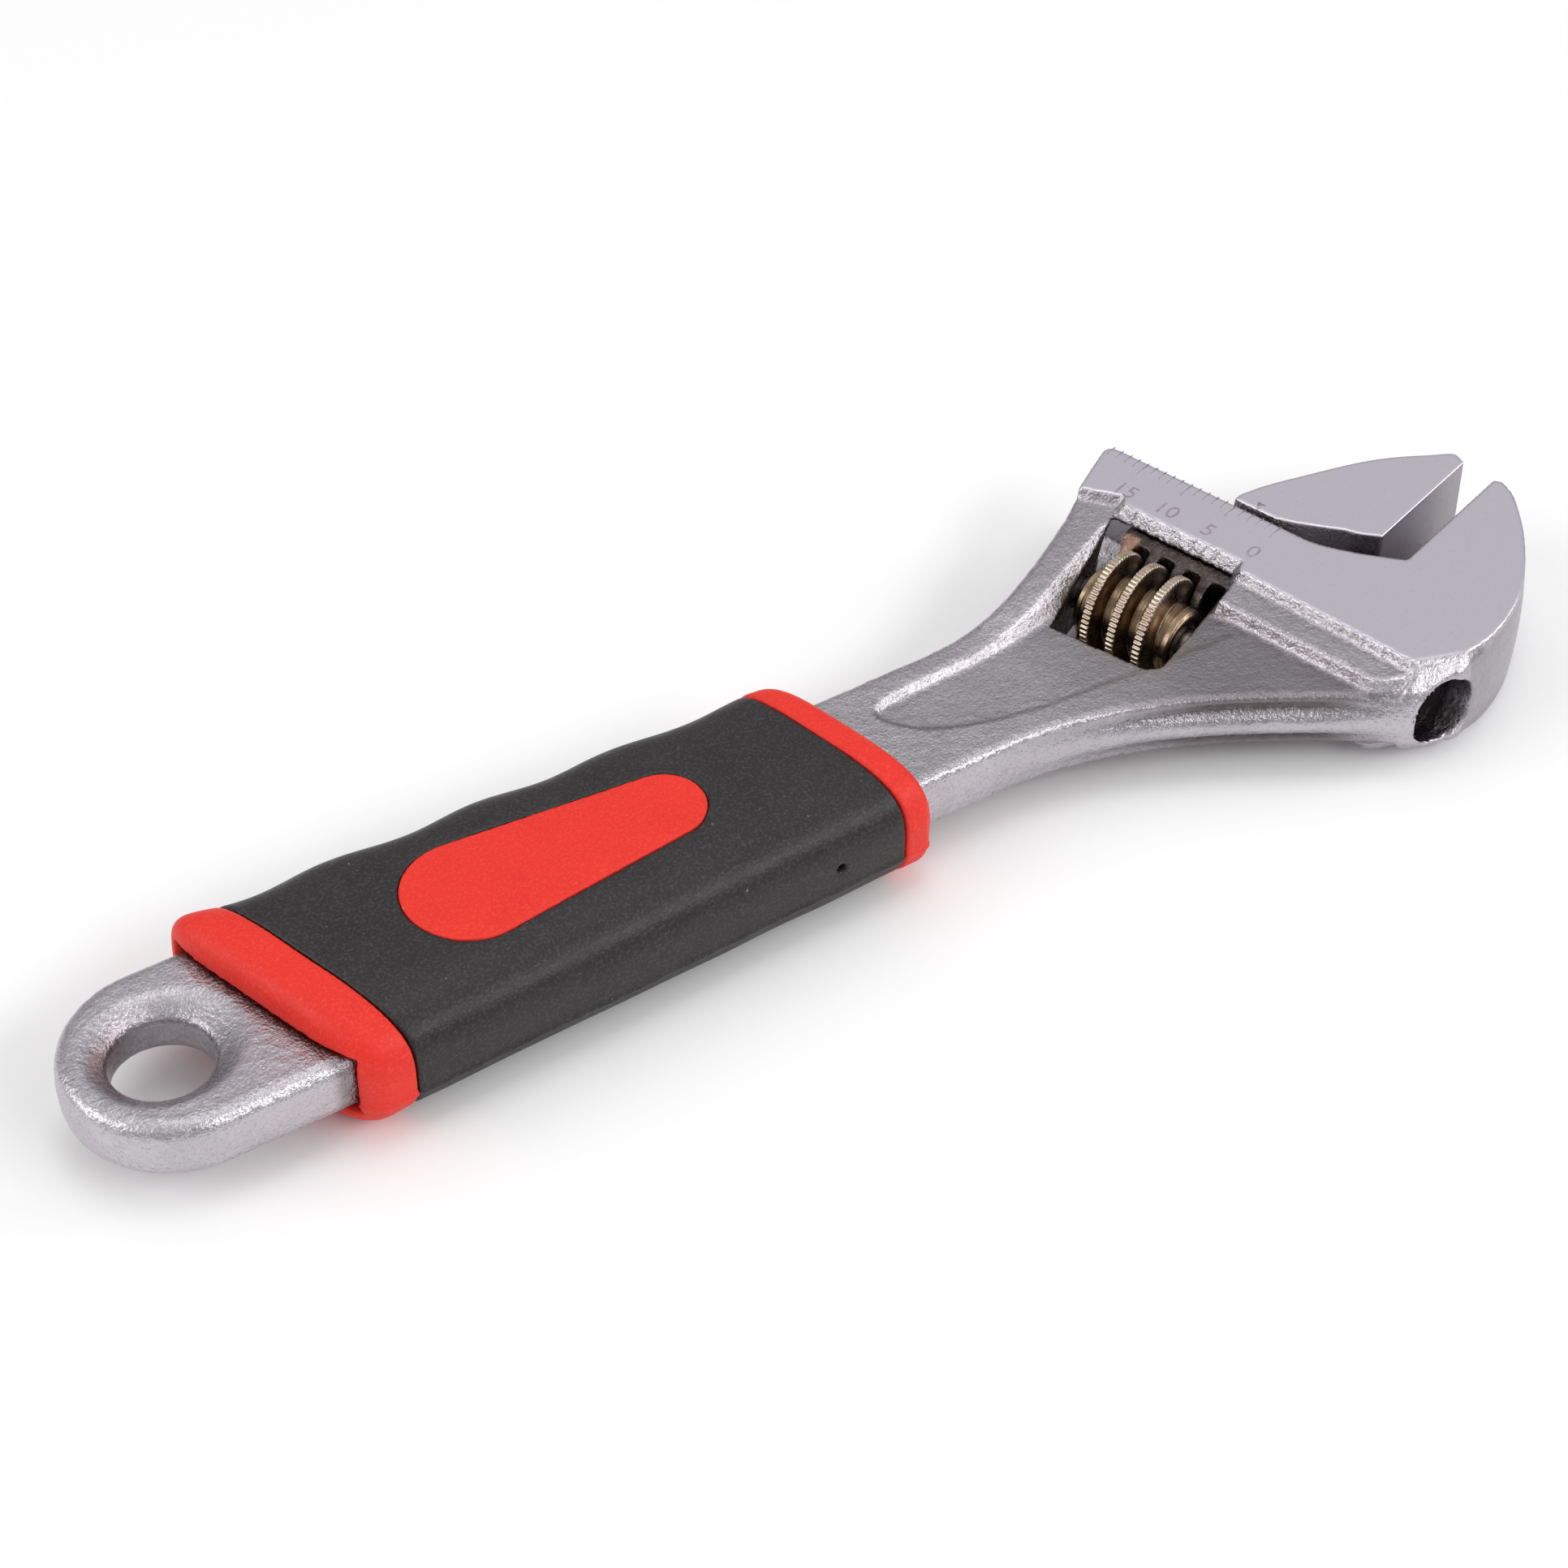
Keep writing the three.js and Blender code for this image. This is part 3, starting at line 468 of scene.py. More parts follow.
def plain_steel(name):
    """Bare spring steel, slightly mottled."""
    material = bpy.data.materials.new(name)
    n = Nodes(material)
    tone = n.mix(n.spread(n.noise(900, 4, 0.6), 0.35, 0.65), STEEL_DARK, STEEL_LIGHT)
    normal = n.bump(n.noise(2600, 3, 0.6), 0.00002, 0.6)
    rough = n.spread(n.noise(1800, 3), 0.3, 0.7, 0.28, 0.42)
    n.set(Base_Color=tone, Metallic=1.0, Roughness=rough, Normal=normal)
    return material


def moulded_rubber(name, light, dark, dust, roughness, grain_depth, shine):
    """Soft moulded elastomer with a fine grain, a little pale dust and slightly uneven gloss."""
    material = bpy.data.materials.new(name)
    n = Nodes(material)
    grain = n.noise(3800, 3, 0.6)
    tone = n.mix(n.spread(n.noise(240, 4, 0.6), 0.3, 0.7), dark, light)
    tone = n.mix(n.spread(grain, 0.48, 0.7, 0.0, 0.7), tone, dust)
    fleck = n.spread(n.noise(1500, 2, 0.5), 0.765, 0.785)
    tone = n.mix(n.math("MULTIPLY", fleck, 0.5), tone, PALE_FLECK)
    rough = n.spread(n.noise(420, 4, 0.65), 0.3, 0.7, roughness - 0.05, roughness + 0.06)
    normal = n.bump(grain, grain_depth, 0.8)
    normal = n.bump(n.noise(260, 2, 0.5), 0.00004, 0.3, normal)
    n.set(Base_Color=tone, Roughness=rough, Normal=normal)
    n.shader.inputs["Specular IOR Level"].default_value = shine
    return material


def engraved(name):
    """The duller metal of the scale's marks."""
    material = bpy.data.materials.new(name)
    n = Nodes(material)
    tone = n.mix(n.spread(n.noise(1500, 3, 0.6), 0.3, 0.7), MARK_DARK, MARK_LIGHT)
    rough = n.spread(n.noise(2500, 2), 0.3, 0.7, 0.45, 0.6)
    normal = n.bump(n.noise(4000, 2), 0.00001, 0.5)
    n.set(Base_Color=tone, Metallic=1.0, Roughness=rough, Normal=normal)
    return material


CHROME = forged_chrome("forged_chrome")
BRONZE = bronze("worm_metal")
STEEL = plain_steel("spring_steel")
BLACK = moulded_rubber(
    "black_rubber", light=rgb(0.017, 0.0135, 0.0135), dark=rgb(0.011, 0.009, 0.0095),
    dust=rgb(0.06, 0.054, 0.054), roughness=0.41, grain_depth=0.00006, shine=0.42)
RED = moulded_rubber(
    "red_rubber", light=rgb(0.82, 0.028, 0.015), dark=rgb(0.74, 0.022, 0.012),
    dust=rgb(0.9, 0.06, 0.035), roughness=0.5, grain_depth=0.00002, shine=0.35)
MARK = engraved("engraved_mark")

# ---------- body ----------

# s and j along the head's outer wall
NEAR_CORNER = [(19.3, -11.4), (21.7, -9.7), (23.1, -7.2), (23.7, -3.8), (23.7, 0.3)]
FIXED_JAW_BACK = [(22.9, 5.5), (21.2, 9.9), (18.2, 14.8), (14.9, 18.7), (13.3, 19.9)]

# the front edge: the curve from the rail up to the jaw's face, and two corners
THROAT_RISE = 3.3
THROAT_LENGTH = 8.3
RAIL_CORNER = 1.4
TIP_EDGE = 0.4

# where a part of the head starts or ends
NEAR_WEB_J = -5
SCOOP_BACK_S = -5
BORE_LIP_S = 20.6
CORNER_S = 19

# heights over the middle plane, and depths cut from them
BORDER_RISE = 1.3
POCKET_DEPTH = (0.2, 0.6)  # at the near side, and added towards the far side
POCKET_EDGE = 0.9
DISH_DEPTH = 1.35
DISH_RIM = 6.7
DISH_STRETCH = 1.2
SCOOP_DEPTH = 0.7
SCOOP_Z = 1.75
SCOOP_WIDTH = 0.75
BORE_LIP = 0.3

# how steeply each level falls past its outline
FLATS_SLOPE = 1.7
CORNER_EASING = 0.9
STRIP_SLOPE = 2.2
BORDER_SLOPE = 1.15

# how the skin is finished, and how much painted shade it gets, from 0 to 1
WALL_GROUND = 0.45
SLOPE_DULL = 0.26
WINDOW_PAINTED_SHADE = 0.94
BORE_PAINTED_SHADE = 0.3
SLOT_PAINTED_SHADE = 0.6
SCOOP_PAINTED_SHADE = 0.85
RIDGE_PAINTED_SHADE = 0.42
WALL_PAINTED_SHADE = 0.42
DISH_PAINTED_SHADE = 0.3
COLLAR_PAINTED_SHADE = 0.6

# how far from the rear collar the painted shade reaches, in millimetres
COLLAR_SHADE_REACH = 1.3
FLAT_BAND = (0.12, 0.06)  # how far under a ground face its finish starts, and over what height


def front_edge():
    """Jaw tip, jaw face, throat and rail edge, to the rail's back corner, in the handle frame."""
    throat_end = (FIXED_FACE_S - THROAT_LENGTH, RAIL_J)
    throat_mid = (FIXED_FACE_S - 0.65 * THROAT_LENGTH, RAIL_J + 0.12 * THROAT_RISE)
    face_foot = (FIXED_FACE_S, RAIL_J + THROAT_RISE)
    corner = [
        (RAIL_BACK_S + RAIL_CORNER, RAIL_J), (RAIL_BACK_S, RAIL_J), (RAIL_BACK_S, RAIL_J - RAIL_CORNER),
    ]
    points = [(FIXED_FACE_S + 1, JAW_REACH), (FIXED_FACE_S, JAW_REACH - TIP_EDGE), face_foot]
    points += bezier([face_foot, throat_mid, throat_end])
    return from_jaw(points + corner[:1] + bezier(corner, 6))


def body_outline():
    """The whole forging in plan, from the tail round the near side, the head and the far side."""
    tail, half = TAIL_WIDTH / 2, SHANK_WIDTH / 2
    points = arc(TAIL_CENTRE_X, 0, tail, math.pi / 2, 1.5 * math.pi)
    points += [(GRIP_REAR_X + REAR_COLLAR, -tail), (GRIP_FRONT_X, -half), (NECK_X, -half)]
    corner = handle_of(*NEAR_CORNER[0])
    bend = [(NECK_X, -half), (NECK_X + 11, -half - 0.6), (corner[0] - 10, corner[1] + 6), corner]
    points += bezier(bend, 20)
    points += through(from_jaw(NEAR_CORNER + FIXED_JAW_BACK))
    points += front_edge()
    back = [points[-1], (NECK_X + 19, 2 * half), (NECK_X + 11, half + 0.2), (NECK_X - 1, half)]
    points += bezier(back, 20)
    points += [(GRIP_FRONT_X, half), (GRIP_REAR_X + REAR_COLLAR, tail)]
    return points


def flats_outline():
    """The ground flats of rail and fixed jaw."""
    inner = [
        (RAIL_BACK_S + 0.1, -4.6), (-19.2, -5.8), (-18.1, -5.9), (-13.9, -4.3), (-13.3, -5.3),
        (0.0, -5.3), (0.5, -6.5), (19.6, -7.3), (20.6, -6.0), (22.6, -3.2),
    ]
    outer = [inner[-1], (23.2, 0.4)] + [(s - 0.1, j) for s, j in FIXED_JAW_BACK]
    return from_jaw(inner) + through(from_jaw(outer)) + front_edge()


def strip_outline():
    """The step below the flats, from the window towards the near corner."""
    return from_jaw([
        (0.0, -4.5), (0.9, -10.2), (14.5, -10.5), (18.0, -10.6), (19.6, -8.6), (20.2, -6.6), (19, -4),
    ])


def border_outline():
    """The raised border behind the window."""
    corner = handle_of(RAIL_BACK_S - 0.5, RAIL_J - RAIL_CORNER)
    half = SHANK_WIDTH / 2
    points = [corner]
    points += bezier([corner, (-15.6, 15.2), (-22.5, half + 2.2), (-42, half + 1)])
    points += [(-42, half - 2.9), (-32, half - 2.7)]
    points += bezier([(-32, half - 2.7), (-25, half - 1.6), (-18.6, 9.1)])
    points += [handle_of(-13.9, -8.3), handle_of(-12.0, -5.0)]
    return points


def pocket_outline():
    """The sunk web between the neck and the window."""
    half = SHANK_WIDTH / 2
    points = [(-41.5, half - 3)]
    points += bezier([points[-1], (-45.2, half - 3.6), (-43.4, 0.9)], 10)
    points += bezier([points[-1], (-41, -3.6), (-29.8, -5.0)], 12)
    points += [(-19.2, -5.8), (-10, -6.2), (-6, 4), (-12, 13.2), (-18.6, 9.3)]
    points += bezier([points[-1], (-25, half - 1.4), (-32, half - 2.5), (-41.5, half - 3)], 10)
    return points


def dish(x, y):
    """Depth of the dished ring round the tail hole."""
    angle = np.arctan2(y, x - HOLE_X)
    rim = DISH_RIM + DISH_STRETCH * np.maximum(np.cos(angle), 0) ** 2
    share = np.clip((rim - np.hypot(x - HOLE_X, y)) / (rim - HOLE_RADIUS), 0, 1.4)
    return DISH_DEPTH * ease(share * 0.8)


def fall_off(level, distance, slope, rounding):
    """A level that falls away past an outline."""
    return smooth_min(level, level - slope * distance, rounding)


def body_top(x, y, edge_noise):
    """Half thickness of the body over a place in its plan, and the distance to the flats."""
    flat = polygon_distance(x, y, flats_outline()) + edge_noise
    strip = polygon_distance(x, y, strip_outline()) + edge_noise
    border = polygon_distance(x, y, border_outline())
    pocket = polygon_distance(x, y, pocket_outline())
    border_height = SHANK_HALF + BORDER_RISE * ease((x + 33) / 16)
    depth = POCKET_DEPTH[0] + POCKET_DEPTH[1] * np.clip((y + 4) / 9, 0, 1)
    web = SHANK_HALF - depth * ease(-pocket / POCKET_EDGE) - dish(x, y)
    s, j = jaw_of(x, y)
    slope = FLATS_SLOPE - CORNER_EASING * ease((s - CORNER_S) / 1.5) * ease((-2 - j) / 2)
    level = fall_off(HEAD_HALF, flat, slope, 0.1)
    level = smooth_max(level, fall_off(STRIP_HALF, strip, STRIP_SLOPE, 0.25), 0.2)
    level = smooth_max(level, fall_off(border_height, border, BORDER_SLOPE, 0.25), 0.25)
    return smooth_max(level, web, 0.35), flat


def ridge_swell(s):
    """How far along the near ridge a place is, from 0 at the web's back to 1 near the corner."""
    return ease((s - SCOOP_BACK_S) / 14)


def ridge_scoop(s, j, z, width=SCOOP_WIDTH):
    """The hollow forged under the near ridge, from 0 to 1 at its deepest."""
    along = ridge_swell(s) * ease((21.5 - s) / 8) * ease((-7 - j) / 2)
    return along * np.exp(-((np.abs(z) - SCOOP_Z) / width) ** 2)


def rod_bore(j, z):
    """Distance to the wall of the bore that the rod slides in."""
    return np.hypot(j - ROD_J, z) - ROD_RADIUS - BORE_CLEARANCE


def body_cuts(x, y, z):
    """The openings through the body, each with the rounding of its edge."""
    s, j = jaw_of(x, y)
    bore = rod_bore(j, z) + BORE_LIP * ease((s - BORE_LIP_S) / 0.5)
    slot = np.maximum(np.abs(z) - WEB_HALF - BORE_CLEARANCE, s - SLOT_END_S)
    slot = np.maximum(slot, np.maximum(ROD_J - j, j - RAIL_J - THROAT_RISE - 1))
    pin = np.hypot(j - WORM_J, z) - PIN_CLEARANCE
    head_hole = np.maximum(pin - PIN_HEAD_RADIUS, s - PIN_SHOULDER_S)
    thin_hole = np.maximum(pin - PIN_RADIUS, s - PIN_END_S)
    tail_hole = np.hypot(x - HOLE_X, y) - HOLE_RADIUS
    return (
        (polygon_distance(x, y, from_jaw(WINDOW)), 0.15), (bore, 0.12), (slot, 0.12),
        (np.minimum(head_hole, thin_hole), 0.15), (tail_hole, 0.7),
    )


def body_field(x, y, z):
    s, j = jaw_of(x, y)
    edge_noise = 0.04 * ripple(x, y, 0, 1.4, 3) + 0.035 * ripple(x, y, 0, 0.7, 4)
    top, flat = body_top(x, y, edge_noise)
    side = polygon_distance(x, y, body_outline())
    draft = 0.3 + 0.5 * ridge_swell(s) * (j < NEAR_WEB_J)
    side = side + draft * (np.abs(z) / top) ** 2 + SCOOP_DEPTH * ridge_scoop(s, j, z)
    rounding = 0.12 + 0.8 * ease((flat - 0.6) / 2.5) + 0.5 * ease((-90 - x) / 12)
    field = smooth_max(np.abs(z) - top, side, rounding)
    skin = ease((flat - 0.15) / 0.5)
    field = field + skin * (0.016 * ripple(x, y, z, 1.3, 11) + 0.014 * ripple(x, y, z, 0.7, 12))
    for cut, edge in body_cuts(x, y, z):
        field = smooth_max(field, -cut, edge)
    return field


def ground_flat(height):
    """1 on the head's ground flats, 0 off them."""
    return ease((height - HEAD_HALF + FLAT_BAND[0]) / FLAT_BAND[1])


def body_finish(points):
    """How ground and dull the skin is at each point, and how much painted shade it gets."""
    x, y, z = points.T
    s, j = jaw_of(x, y)
    height = np.abs(z)
    outline = polygon_distance(x, y, body_outline())
    face = (np.abs(s - FIXED_FACE_S) < FLAT_BAND[0]) & (j > RAIL_J + THROAT_RISE)
    end_wall = (s > CORNER_S) & (j > -3.5) & (height < HEAD_HALF - 0.5)
    ground = np.where(face, 1.0, ground_flat(height))
    ground = np.where(end_wall, WALL_GROUND, ground)

    web_top = ease((height - 1.6) / 0.3) * ease((SHANK_HALF + 0.25 - height) / 0.2)
    web_top = web_top * ease((-0.5 - outline) / 0.5)
    dull = web_top * (0.2 + 0.8 * ease((x + 34) / 20)) * ease((x + 60) / 10)
    slopes = (1 - ground) * ease((height - SHANK_HALF - 0.4) / 0.3) * (s > RAIL_BACK_S - 0.1)
    dull = np.maximum(dull, SLOPE_DULL * slopes)

    bore = rod_bore(j, z)
    in_bore = np.where(s > JAW_BACK_S, bore + BORE_LIP * (s > BORE_LIP_S) + 0.06, 1.0)
    inside = ease((0.14 - np.minimum(polygon_distance(x, y, from_jaw(WINDOW)), in_bore)) / 0.08)
    slot = (height < WEB_HALF + 0.4) & (j > ROD_J) & (s < SLOT_END_S + 0.3) & (outline > -1.5)
    beside_ridge = ridge_scoop(s, j, z, 2 * SCOOP_WIDTH)
    beside_ridge = beside_ridge * ease((outline + 1.4) / 0.5) * ease((3.9 - height) / 0.6)
    from_collar = past_rear(x, y)
    at_collar = ease((COLLAR_SHADE_REACH - from_collar) / COLLAR_SHADE_REACH) * (from_collar > -4)
    # painted shade in the window, bore and slot, in the hollow and band under the near ridge, on the end
    # wall, in the tail's dish and beside the rear collar
    painted_shade = np.maximum.reduce([
        inside * np.where((bore < 0.1) & (s > SLOT_END_S), BORE_PAINTED_SHADE, WINDOW_PAINTED_SHADE),
        SLOT_PAINTED_SHADE * slot,
        SCOOP_PAINTED_SHADE * ridge_scoop(s, j, z),
        WALL_PAINTED_SHADE * end_wall,
        RIDGE_PAINTED_SHADE * beside_ridge,
        DISH_PAINTED_SHADE * ease(dish(x, y) / 0.9),
        COLLAR_PAINTED_SHADE * at_collar,
    ])
    return ground, dull, painted_shade


def make_body():
    low = (TAIL_CENTRE_X - TAIL_WIDTH / 2 - 1, -22.5, -HEAD_HALF - 0.7)
    high = (24.5, 24.0, HEAD_HALF + 0.9)
    points, faces = surface_net(body_field, low, high, CELL)
    points = smooth_points(points, faces, 2)
    ground, dull, painted_shade = body_finish(points)
    world = world_of_handle(points)
    piece = mesh_object("body_forging", world, faces, "frame", CHROME)
    point_value(piece, "ground", ground)
    point_value(piece, "dull", dull)
    point_value(piece, "painted_shade", painted_shade)
    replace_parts(piece, "body")


# ---------- movable jaw ----------

JAW_GAP = 0.2
JAW_BULGE = 0.35
RACK_PLAY = 0.25
RACK_GAP_HALF = 0.8
RACK_GAP_FLARE = 0.08
JAW_WEB_INSET = 0.5
FACE_DULL = 0.85
SIDE_DULL = 0.75
# painted shade under the rail, and how much of it the rack's tooth tips lose
ROD_PAINTED_SHADE = 0.97
TOOTH_TIP_SHADE_LIFT = 0.9
ROD_END_COPPER = 0.7


def jaw_outline():
    """The jaw over the rail in plan: its foot, its face and its curved back."""
    foot = RAIL_J + JAW_GAP
    # shares of the jaw's length back from its face, and of its reach
    back = [(0.12, 1.02), (0.33, 0.9), (0.55, 0.72), (0.79, 0.44), (0.92, 0.276), (1, 0.143)]
    curve = [(MOVABLE_FACE_S - a * JAW_LENGTH, b * JAW_REACH) for a, b in back]
    points = [(JAW_BACK_S, foot), (JAW_BACK_S + 5, foot)]
    front = (MOVABLE_FACE_S, foot + THROAT_RISE + 1)
    points += bezier([points[-1], (JAW_BACK_S + 7, foot + 0.3), front])
    points += [(MOVABLE_FACE_S, JAW_REACH), (MOVABLE_FACE_S - 0.8, JAW_REACH + TIP_EDGE)]
    return points + through([points[-1], *curve])


def jaw_field(s, j, z):
    """The jaw, the toothed rod that the worm drives, and the web between them."""
    bulge = JAW_BULGE * (np.abs(z) / HEAD_HALF) ** 2 * ease((MOVABLE_FACE_S - 1.5 - s) / 2)
    plan = polygon_distance(s, j, jaw_outline())
    jaw = smooth_max(plan + bulge, np.abs(z) - HEAD_HALF, 0.16)
    rod = np.hypot(j - ROD_J, z) - ROD_RADIUS
    rod = smooth_max(rod, np.abs(s - ROD_BACK_S - ROD_LENGTH / 2) - ROD_LENGTH / 2, 0.5)
    turn = (s - CREST_S) / WORM_PITCH
    from_gap = np.abs(turn - np.round(turn)) * WORM_PITCH
    floor = WORM_J + WORM_RADIUS + RACK_PLAY
    half = RACK_GAP_HALF + RACK_GAP_FLARE * np.maximum(floor - j, 0)
    rod = smooth_max(rod, -smooth_max(from_gap - half, j - floor, 0.4), 0.25)
    web_back, web_front = JAW_BACK_S + JAW_WEB_INSET, JAW_BACK_S + JAW_FOOT
    along = np.abs(s - (web_back + web_front) / 2) - (web_front - web_back) / 2
    web = smooth_max(np.abs(z) - WEB_HALF, along, 0.2)
    web = np.maximum(web, np.maximum(ROD_J - j, j - RAIL_J - THROAT_RISE))
    return smooth_min(smooth_min(rod, web, 0.4), jaw, 0.5)


def make_movable_jaw():
    margin = 0.6
    low = (ROD_BACK_S - margin, ROD_J - ROD_RADIUS - margin, -HEAD_HALF - margin)
    high = (ROD_BACK_S + ROD_LENGTH + margin, JAW_REACH + 2 * margin, HEAD_HALF + margin)
    points, faces = surface_net(jaw_field, low, high, CELL * JAW_CELL_SHARE)
    points = smooth_points(points, faces, 2)
    s, j, z = points.T
    below = ease((RAIL_J - j) / 0.3)
    tooth_tip = ease((ROD_J - ROD_RADIUS + 1.0 - j) / 0.3)
    rod_end = ease((ROD_BACK_S + 2.2 - s) / 0.4) * ease((-6.6 - j) / 0.4)
    flat = ground_flat(np.abs(z))
    face = (np.abs(s - MOVABLE_FACE_S) < FLAT_BAND[0]) & (j > RAIL_J)
    world = world_of_jaw(points)
    piece = mesh_object("movable_jaw_forging", world, faces, "movable_jaw", CHROME)
    point_value(piece, "ground", np.maximum(flat, face))
    point_value(piece, "dull", np.where(flat > 0.5, 0.0, np.where(face, FACE_DULL, SIDE_DULL)))
    # painted shade under the rail, taken off again on the rack's tooth tips so that they look lit
    point_value(piece, "painted_shade", below * (ROD_PAINTED_SHADE - TOOTH_TIP_SHADE_LIFT * tooth_tip))
    point_value(piece, "copper", ROD_END_COPPER * rod_end)
    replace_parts(piece, "movable_jaw")


# ---------- worm ----------

KNURLS = 72
KNURL_STEPS = 6
KNURL_DEPTH = 0.16
WORM_RINGS = 180
THREAD_LAND_HALF = 0.36
THREAD_FLANK = 0.4
THREAD_RUN_OUT = 0.25
ROOT_GROOVE = 0.12
HUB_ROUNDING = 0.25


def along_thread(s, beyond, fade):
    """1 over the threaded length and a little beyond it, fading to 0 at both ends."""
    return ease((s - THREAD_START_S + beyond) / fade) * ease((THREAD_END_S + beyond - s) / fade)


def worm_surface():
    """Place, angle, radius and thread height on rings round the worm's axis."""
    around = KNURLS * KNURL_STEPS
    angle = np.arange(around) * 2 * math.pi / around
    angle, s = np.meshgrid(angle, np.linspace(WORM_BACK_S, WORM_FRONT_S, WORM_RINGS))
    turns = (s - CREST_S) / WORM_PITCH - angle / (2 * math.pi)
    from_crest = np.abs(turns - np.round(turns)) * WORM_PITCH
    threaded = along_thread(s, 0.05, THREAD_RUN_OUT)
    height = (1 - ease((from_crest - THREAD_LAND_HALF) / THREAD_FLANK)) * threaded
    notch = 0.5 + 0.5 * np.cos(angle * KNURLS)
    knurl = KNURL_DEPTH * (1 - notch ** 0.6) * ease((height - 0.75) / 0.2)
    groove = ROOT_GROOVE * ease((from_crest - 0.9) / 0.5)
    radius = WORM_HUB + (WORM_ROOT - WORM_HUB) * threaded + (WORM_RADIUS - WORM_ROOT) * height
    from_end = np.minimum(s - WORM_BACK_S, WORM_FRONT_S - s)
    radius = radius - knurl - groove * threaded
    radius = radius - HUB_ROUNDING * (1 - ease(from_end / HUB_ROUNDING))
    return s, angle, radius, height


def make_worm():
    s, angle, radius, height = worm_surface()
    rings, around = s.shape
    bore = PIN_RADIUS + PIN_CLEARANCE

    def round_axis(s, angle, radius):
        return np.stack([s, WORM_J + radius * np.cos(angle), radius * np.sin(angle)], -1)

    rims = [round_axis(s[ring], angle[ring], bore) for ring in (0, rings - 1)]
    points = np.concatenate([round_axis(s, angle, radius).reshape(-1, 3), *rims])
    columns = np.arange(around)
    following = (columns + 1) % around

    def band(first, second):
        return np.stack([first + columns, first + following, second + following, second + columns], 1)

    # the screw from back to front, its front end, the bore and its back end
    starts = [ring * around for ring in range(rings)]
    starts += [(rings + 1) * around, rings * around, 0]
    faces = np.concatenate([band(a, b) for a, b in zip(starts, starts[1:])])
    piece = mesh_object("worm_screw", world_of_jaw(points), faces, "worm", BRONZE)
    in_bore = np.ones(2 * around)
    height = height.ravel()
    crest = np.concatenate([ease((height - 0.8) / 0.2), 0 * in_bore])
    root = np.concatenate([ease((0.45 - height) / 0.4), in_bore])
    point_value(piece, "crest", crest)
    point_value(piece, "root", root * along_thread(points[:, 0], 0.2, 0.4))
    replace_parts(piece, "worm")


# ---------- grip ----------

WAVE_PITCH = 13.7
WAVE_HEIGHT = 0.35
WAVE_CREST_X = -94
NEAR_POWER = 3.2
FAR_POWER = 4.4
REAR_ROUNDING = 2.6
FRONT_ROUNDING = 1.7
UNDERSIDE_INSET = 0.05
SHANK_FIT = 0.12
SEAM = 0.04
PARTING_Z = -2.0
PARTING_WIDTH = 0.26
REAR_CROWN = 0.15
FRONT_CROWN = 0.05
REAR_LIP = (0.22, 1.4)  # how far the opening round the shank flares, and over what length
FRONT_LIP = (0.15, 1.2)
BADGE_DEPTH = 0.75
BADGE_SIDE_GAP = (0.03, 0.01)  # what the recess gains and what the inlay gives up
BADGE_FLOOR_GAP = 0.06
BADGE_RISE = 0.02
GATE = (-55.6, 0.5)  # x and z of the small moulding mark on the near side
GATE_RADIUS = 0.42
GATE_DEPTH = 1.1


def slanted_distance(x, y, at, slant):
    """Distance past a line across the handle that leans from square."""
    return (x - at) * math.cos(slant) + y * math.sin(slant)


def past_rear(x, y, inset=0):
    """Distance behind the grip's rear end, or behind a line that far inside it."""
    return -slanted_distance(x, y, GRIP_REAR_X + inset, GRIP_REAR_SLANT)


def past_front(x, y, inset=0):
    """Distance before the grip's front end, or before a line that far inside it."""
    return slanted_distance(x, y, GRIP_FRONT_X - inset, GRIP_FRONT_SLANT)


def grip_blank(x, y, z, swell=0.0):
    """The whole grip: a rounded section that narrows to the front, waved on the far edge."""
    share = np.clip((x - GRIP_REAR_X) / (GRIP_FRONT_X - GRIP_REAR_X), -0.1, 1.1)
    half = GRIP_REAR_HALF + (GRIP_FRONT_HALF - GRIP_REAR_HALF) * share
    wave = WAVE_HEIGHT * (np.cos(2 * math.pi * (x - WAVE_CREST_X) / WAVE_PITCH) - 1)
    half = half + np.where(y > 0, wave, 0) * ease(y / 6) + swell
    across, up = np.abs(y) / half, np.abs(z) / (GRIP_HALF_THICKNESS + swell)
    power = np.where(y > 0, FAR_POWER, NEAR_POWER)
    reach = (across ** power + up ** power) ** (1 / power)
    field = (reach - 1) * GRIP_HALF_THICKNESS
    field = smooth_max(field, past_rear(x, y), REAR_ROUNDING)
    field = smooth_max(field, past_front(x, y), FRONT_ROUNDING)
    return np.maximum(field, UNDERSIDE_INSET - GRIP_HALF_THICKNESS - z)


def shank_hole(x, y, z):
    """The space that the shank fills inside the grip."""
    start = GRIP_REAR_X + REAR_COLLAR
    share = np.clip((x - start) / (GRIP_FRONT_X - start), 0, 1)
    half = TAIL_WIDTH / 2 + (SHANK_WIDTH - TAIL_WIDTH) / 2 * share + SHANK_FIT
    return np.maximum(np.abs(y) - half, np.abs(z) - SHANK_HALF - SHANK_FIT)


def badge_distance(x, y):
    """Distance to the inlay's outline: a big and a small circle and their common tangents."""
    (xa, ra), (xb, rb) = BADGE_REAR, BADGE_FRONT
    length = xb - xa
    lean = (ra - rb) / length
    upright = math.sqrt(1 - lean * lean)
    px, py = x - xa, np.abs(y)
    across = py * upright + px * lean
    along = px * upright - py * lean
    side = np.where(along < 0, np.hypot(px, py) - ra, across - ra)
    return np.where(along > length * upright, np.hypot(px - length, py) - rb, side)


def parting_line(x, y, z, height):
    """Flash left by the mould along the near side."""
    uneven = 0.75 + 0.25 * ripple(x, 0, 0, 3, 34)
    return height * np.exp(-((z - PARTING_Z) / PARTING_WIDTH) ** 2) * (y < 0) * uneven


